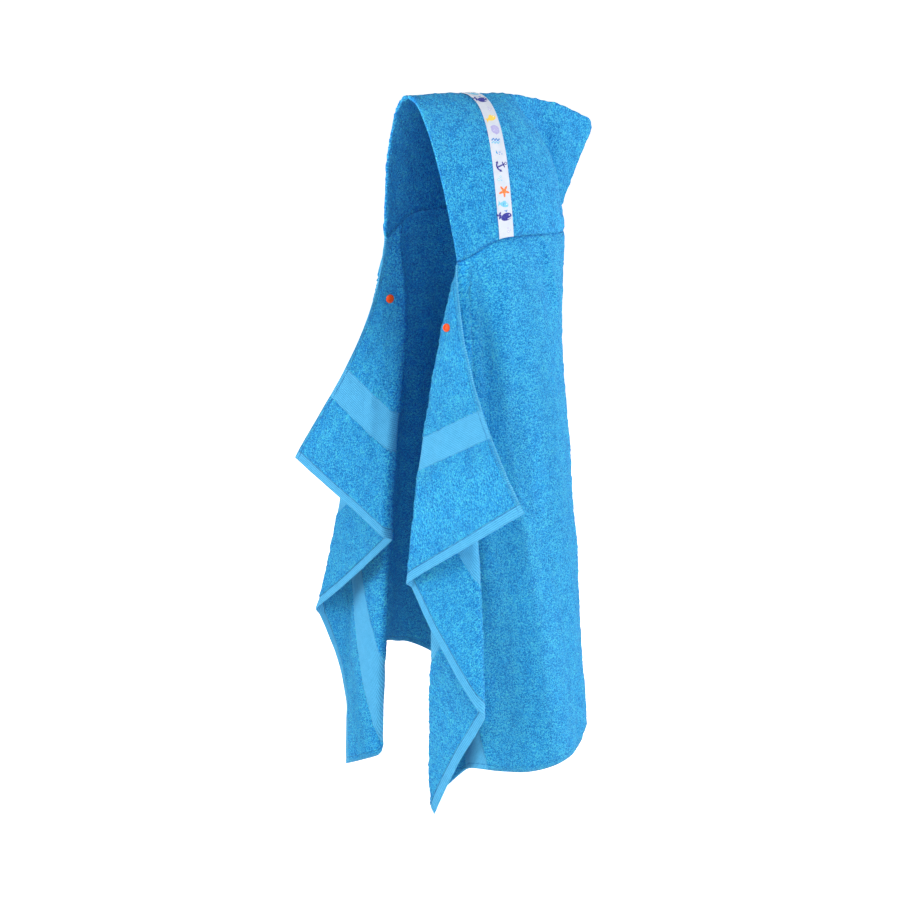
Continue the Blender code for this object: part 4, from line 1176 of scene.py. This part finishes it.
class Shader(Nodes):
    """The nodes of a Principled material."""

    def __init__(self, name, roughness, sheen=0.0, sheen_tint=(1, 1, 1)):
        self.material = bpy.data.materials.new(name)
        self.material.use_nodes = True
        super().__init__(self.material.node_tree)
        self.principled = self.tree.nodes["Principled BSDF"]
        self.set("Roughness", roughness)
        self.set("Specular IOR Level", SPECULAR)
        self.set("Sheen Weight", sheen)
        self.set("Sheen Roughness", 0.5)
        self.set("Sheen Tint", (*sheen_tint, 1))

    def set(self, name, value):
        self.link(self.principled.inputs[name], value)

    def bump(self, height, distance, strength=1.0):
        inputs = {"Strength": strength, "Distance": distance, "Height": height}
        self.set("Normal", self.made("Bump", 0, inputs))


def terry_pattern(shader, place, extra_shade=0.0):
    """Loops of terry: their height from 0 to 1, and their colour, painted darker in the low pits as painted
    shade and lighter on the loop tips as painted light, with a random tone for each loop and brushed patches,
    and any extra painted shade asked for.
    """
    packed = shader.vector("MULTIPLY", place, (1.0, LOOP_PACKING, 1.0))
    wander = shader.noise(packed, 2 * LOOP, 1.0, output="Color")
    reach = LOOP_WANDER * LOOP
    moved = shader.vector("MULTIPLY_ADD", wander, (reach, reach, 0.0), packed)
    distance, own = shader.cells(moved, LOOP)
    strands, loops = shader.noise(moved, STRAND, roughness=0.7), shader.fall(distance, 0.0, 0.85)
    height = strands * STRAND_HEIGHT + loops * LOOP_HEIGHT
    nap = shader.noise(place, NAP) * NAP_TONE
    # any extra painted shade lowers the whole tone
    tone = height * HEIGHT_SHADE + own * OWN_TONE + nap - (TONE_DOWN + extra_shade)
    colour = shader.colours(tone, (PIT_SHADE_AT, PIT_SHADE), (BODY_AT, BODY_BLUE), (TIP_LIT_AT, TIP_LIT))
    return height + own * OWN_HEIGHT, colour


def woven_pattern(shader, place, s, t):
    """Fine flat weave: ribs along the band, crossed by finer threads, and a little uneven."""
    ribs = shader.wave(s + shader.noise(place, RIB_WAVER_CELL) * RIB_WAVER, RIB)
    weave = ribs * RIB_SHOWS + ribs * shader.wave(t, THREAD) * THREAD_SHOWS
    height = weave + shader.noise(place, WEAVE_GRAIN, roughness=0.7)
    tone = height + (shader.noise(place, WEAVE_PATCH) - 0.5) * PATCH_TONE
    return height, shader.mix(tone, WOVEN_DARK, WOVEN_BLUE)


def towel_look(name):
    """Terry with woven bands and hems, lighter toward the long edges, with painted shade in the seam's tuck
    and in the stitch grooves.
    """
    shader = Shader(name, TERRY_ROUGHNESS, TERRY_SHEEN, SHEEN_BLUE)
    place = shader.layout()
    from_end, t = shader.split(place)
    s = from_end - TOWEL_HALF
    size = abs(s)
    end = TOWEL_HALF - size
    ragged = (shader.noise(place, RAGGED_CELL, 1.0) - 0.5) * (2 * RAGGED)
    past_near = shader.rise(end + ragged, BAND_NEAR - BAND_SOFT, BAND_NEAR + BAND_SOFT)
    on_band = past_near * shader.fall(end + ragged, BAND_FAR - BAND_SOFT, BAND_FAR + BAND_SOFT)
    on_hem = shader.fall(end + ragged * HEM_RAGGED, END_HEM - HEM_SOFT, END_HEM + HEM_SOFT)
    on_seam = shader.math("LESS_THAN", size, SEAM_HALF)
    edge = shader.least(TOWEL_DROP - t, t + on_seam)
    on_edge = shader.fall(edge, OUTER_EDGE - EDGE_SOFT, OUTER_EDGE + EDGE_SOFT)
    flat = shader.most(shader.most(on_band, on_hem), on_edge)
    pile, pile_colour = terry_pattern(shader, place)
    weave, weave_colour = woven_pattern(shader, place, s, t)
    to_line = shader.least(abs(end - (END_HEM - STITCH_IN)), abs(edge - (EDGE_HEM - STITCH_IN)))
    # painted shade in the groove that the stitches lie in; the same groove is also sunk in the bump
    line = shader.patches(place, *LINE_BREAKS) * shader.fall(to_line, *LINE_FADES)
    # painted shade along the seam, where the cloth tucks in
    seam_shade_mask = on_seam * shader.fall(t, *SEAM_FADES) * shader.patches(place, *SEAM_BREAKS)
    worn = shader.fall(edge, 0.0, EDGE_HEM) * WORN_SHARE
    colour = shader.mix(shader.most(flat, worn), pile_colour, weave_colour)
    # the painted shade of the stitch grooves and the seam mixes the terry toward the pits' painted shade
    # colour
    painted_shade = shader.most(line * LINE_SHADE, seam_shade_mask * SEAM_SHADE)
    shader.set("Base Color", shader.mix(painted_shade, colour, PIT_SHADE))
    height = pile * (1.0 - flat) + weave * flat * WEAVE_BUMP
    shader.bump(height - line * LINE_DEEP, TERRY_BUMP)
    return shader.material


def hood_look():
    """The towel's terry with a little painted shade over all of it, so the hood looks less lit."""
    shader = Shader("hood_terry_detail", TERRY_ROUGHNESS, TERRY_SHEEN, SHEEN_BLUE)
    height, colour = terry_pattern(shader, shader.layout(), HOOD_SHADE)
    shader.set("Base Color", colour)
    shader.bump(height, TERRY_BUMP)
    return shader.material


def thread_look(name, colour):
    shader = Shader(name, roughness=0.6, sheen=0.2)
    strands = shader.grain(THREAD_GRAIN)
    shader.set("Base Color", shader.mix(strands, tuple(0.72 * c for c in colour), colour))
    shader.bump(strands, FINE_BUMP, strength=0.5)
    return shader.material


def ribbon_look():
    """White woven ribbon: fine ribs across it, crossed by threads."""
    shader = Shader("ribbon_weave", roughness=0.55, sheen=0.15)
    place = shader.layout()
    x, y = shader.split(place)
    ribs = shader.wave(x, RIBBON_RIB)
    weave = ribs * shader.wave(y, RIBBON_CROSS) * 0.2 + ribs * 0.3
    tone = weave * 0.3 + shader.noise(place, RIBBON_PATCH)
    shader.set("Base Color", shader.mix(tone, RIBBON_DARK, RIBBON_WHITE))
    shader.bump(weave, FINE_BUMP, strength=0.7)
    return shader.material


def ink_look(name, colour):
    """Printed ink that lets the ribbon's weave show."""
    shader = Shader("ink_" + name, roughness=0.6)
    lighter = tuple(0.8 * c + 0.15 for c in colour)
    worn = shader.rise(shader.grain(INK_GRAIN), 0.48, 0.78)
    shader.set("Base Color", shader.mix(worn, colour, lighter))
    return shader.material


def snap_look():
    """Moulded orange-red plastic, a little uneven in gloss."""
    shader = Shader("snap_plastic", roughness=0.38)
    mottle = shader.grain(PLASTIC_GRAIN)
    shader.set("Base Color", shader.mix(mottle, SNAP_DARK, SNAP_RED))
    shader.set("Roughness", mottle * 0.25 + 0.28)
    shader.bump(mottle, FINE_BUMP, strength=0.3)
    return shader.material


# ---------------------------------------------------------------- stage


def pale_floor():
    """A floor under the hanging towel that keeps its shadow and runs out to plain white."""
    pale = Shader("floor_pale", roughness=0.9)
    pale.set("Base Color", (*FLOOR_PALE, 1))
    pale.set("Emission Color", (1, 1, 1, 1))
    reach = pale.made("VectorMath", "Value", {0: pale.on_piece()}, operation="LENGTH")
    glow = pale.rise(reach, WHITE_FROM, WHITE_AT) * (1 - FLOOR_GLOW) + FLOOR_GLOW
    pale.set("Emission Strength", pale.white_seen() * glow)
    corners = [(x * FLOOR_HALF, y * FLOOR_HALF, FLOOR_Z) for x, y in ((-1, -1), (1, -1), (1, 1), (-1, 1))]
    add_mesh("floor", corners, [(0, 1, 2, 3)], [pale.material])


def studio_world():
    """A white background that gives the scene only a little light."""
    world = bpy.data.worlds.new("studio")
    bpy.context.scene.world = world
    world.use_nodes = True
    nodes = Nodes(world.node_tree)
    background = nodes.tree.nodes["Background"]
    nodes.link(background.inputs["Color"], (1, 1, 1, 1))
    nodes.link(background.inputs["Strength"], nodes.white_seen() * (1 - WORLD_LIGHT) + WORLD_LIGHT)


def aimed(name, data, azimuth, distance, height, aim_z):
    """A lamp or camera at an azimuth from the front, aimed at a height on the middle axis."""
    holder = bpy.data.objects.new(name, data)
    turn = math.radians(azimuth)
    holder.location = (distance * math.sin(turn), -distance * math.cos(turn), height)
    aim = Vector((0, 0, aim_z)) - holder.location
    holder.rotation_euler = aim.to_track_quat("-Z", "Y").to_euler()
    bpy.context.scene.collection.objects.link(holder)
    return holder


def stage():
    """A pale floor, soft lamps round the towel and the photo's camera."""
    scene = bpy.context.scene
    scene.view_settings.view_transform = "Standard"
    pale_floor()
    studio_world()
    for name, azimuth, distance, height, width, power in LAMPS:
        lamp = bpy.data.lights.new(name, "AREA")
        lamp.shape = "RECTANGLE"
        lamp.size, lamp.size_y = width, width * LAMP_ASPECT
        lamp.energy = power
        aimed(name, lamp, azimuth, distance, height, LAMP_AIM_Z)
    camera = bpy.data.cameras.new("camera")
    camera.sensor_width, camera.lens = SENSOR, SENSOR * CAMERA_FOCUS
    camera.clip_end = 200
    scene.camera = aimed("camera", camera, CAMERA_AZIMUTH, CAMERA_REACH, CAMERA_Z, CAMERA_AIM_Z)


def keep(piece, slot, *nodes):
    """A piece of the visual model: it rides on the part and may stand in for CAD nodes, whose parts it hides.
    slot is not used.
    """
    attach(piece, "root")
    if nodes:
        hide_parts(*nodes)
    return piece


def build():
    s, t, outer, inner = towel_faces()
    looks = [towel_look("terry_outer"), towel_look("terry_inner")]
    towel_cloth = shell("towel_cloth", outer, inner, s + TOWEL_HALF, t, looks)
    keep(towel_cloth, "towel_terry", "towel")
    hood_cloth = keep(hood(hood_look()), "hood_terry", "hood")
    ribbon_cloth = keep(ribbon(ribbon_look()), "ribbon", "ribbon")
    keep(hem_stitches(s, t, outer, inner, thread_look("hem_thread", THREAD_BLUE)), "towel_terry")
    keep(ribbon_stitches(thread_look("ribbon_thread", RIBBON_THREAD)), "ribbon")
    for piece in printed({name: ink_look(name, colour) for name, colour in INKS.items()}):
        keep(piece, "ribbon")
    snap = snap_look()
    for name, profile, front, face in (
        ("snap_socket_left", SOCKET_PROFILE, LEFT, -1),
        ("snap_cap_left", CAP_PROFILE, LEFT, 1),
        ("snap_cap_right", CAP_PROFILE, RIGHT, -1),
        ("snap_stud_right", STUD_PROFILE, RIGHT, 1),
    ):
        keep(snap_piece(name + "_fine", profile, front, face, snap), "snap", name)
    stage()


build()
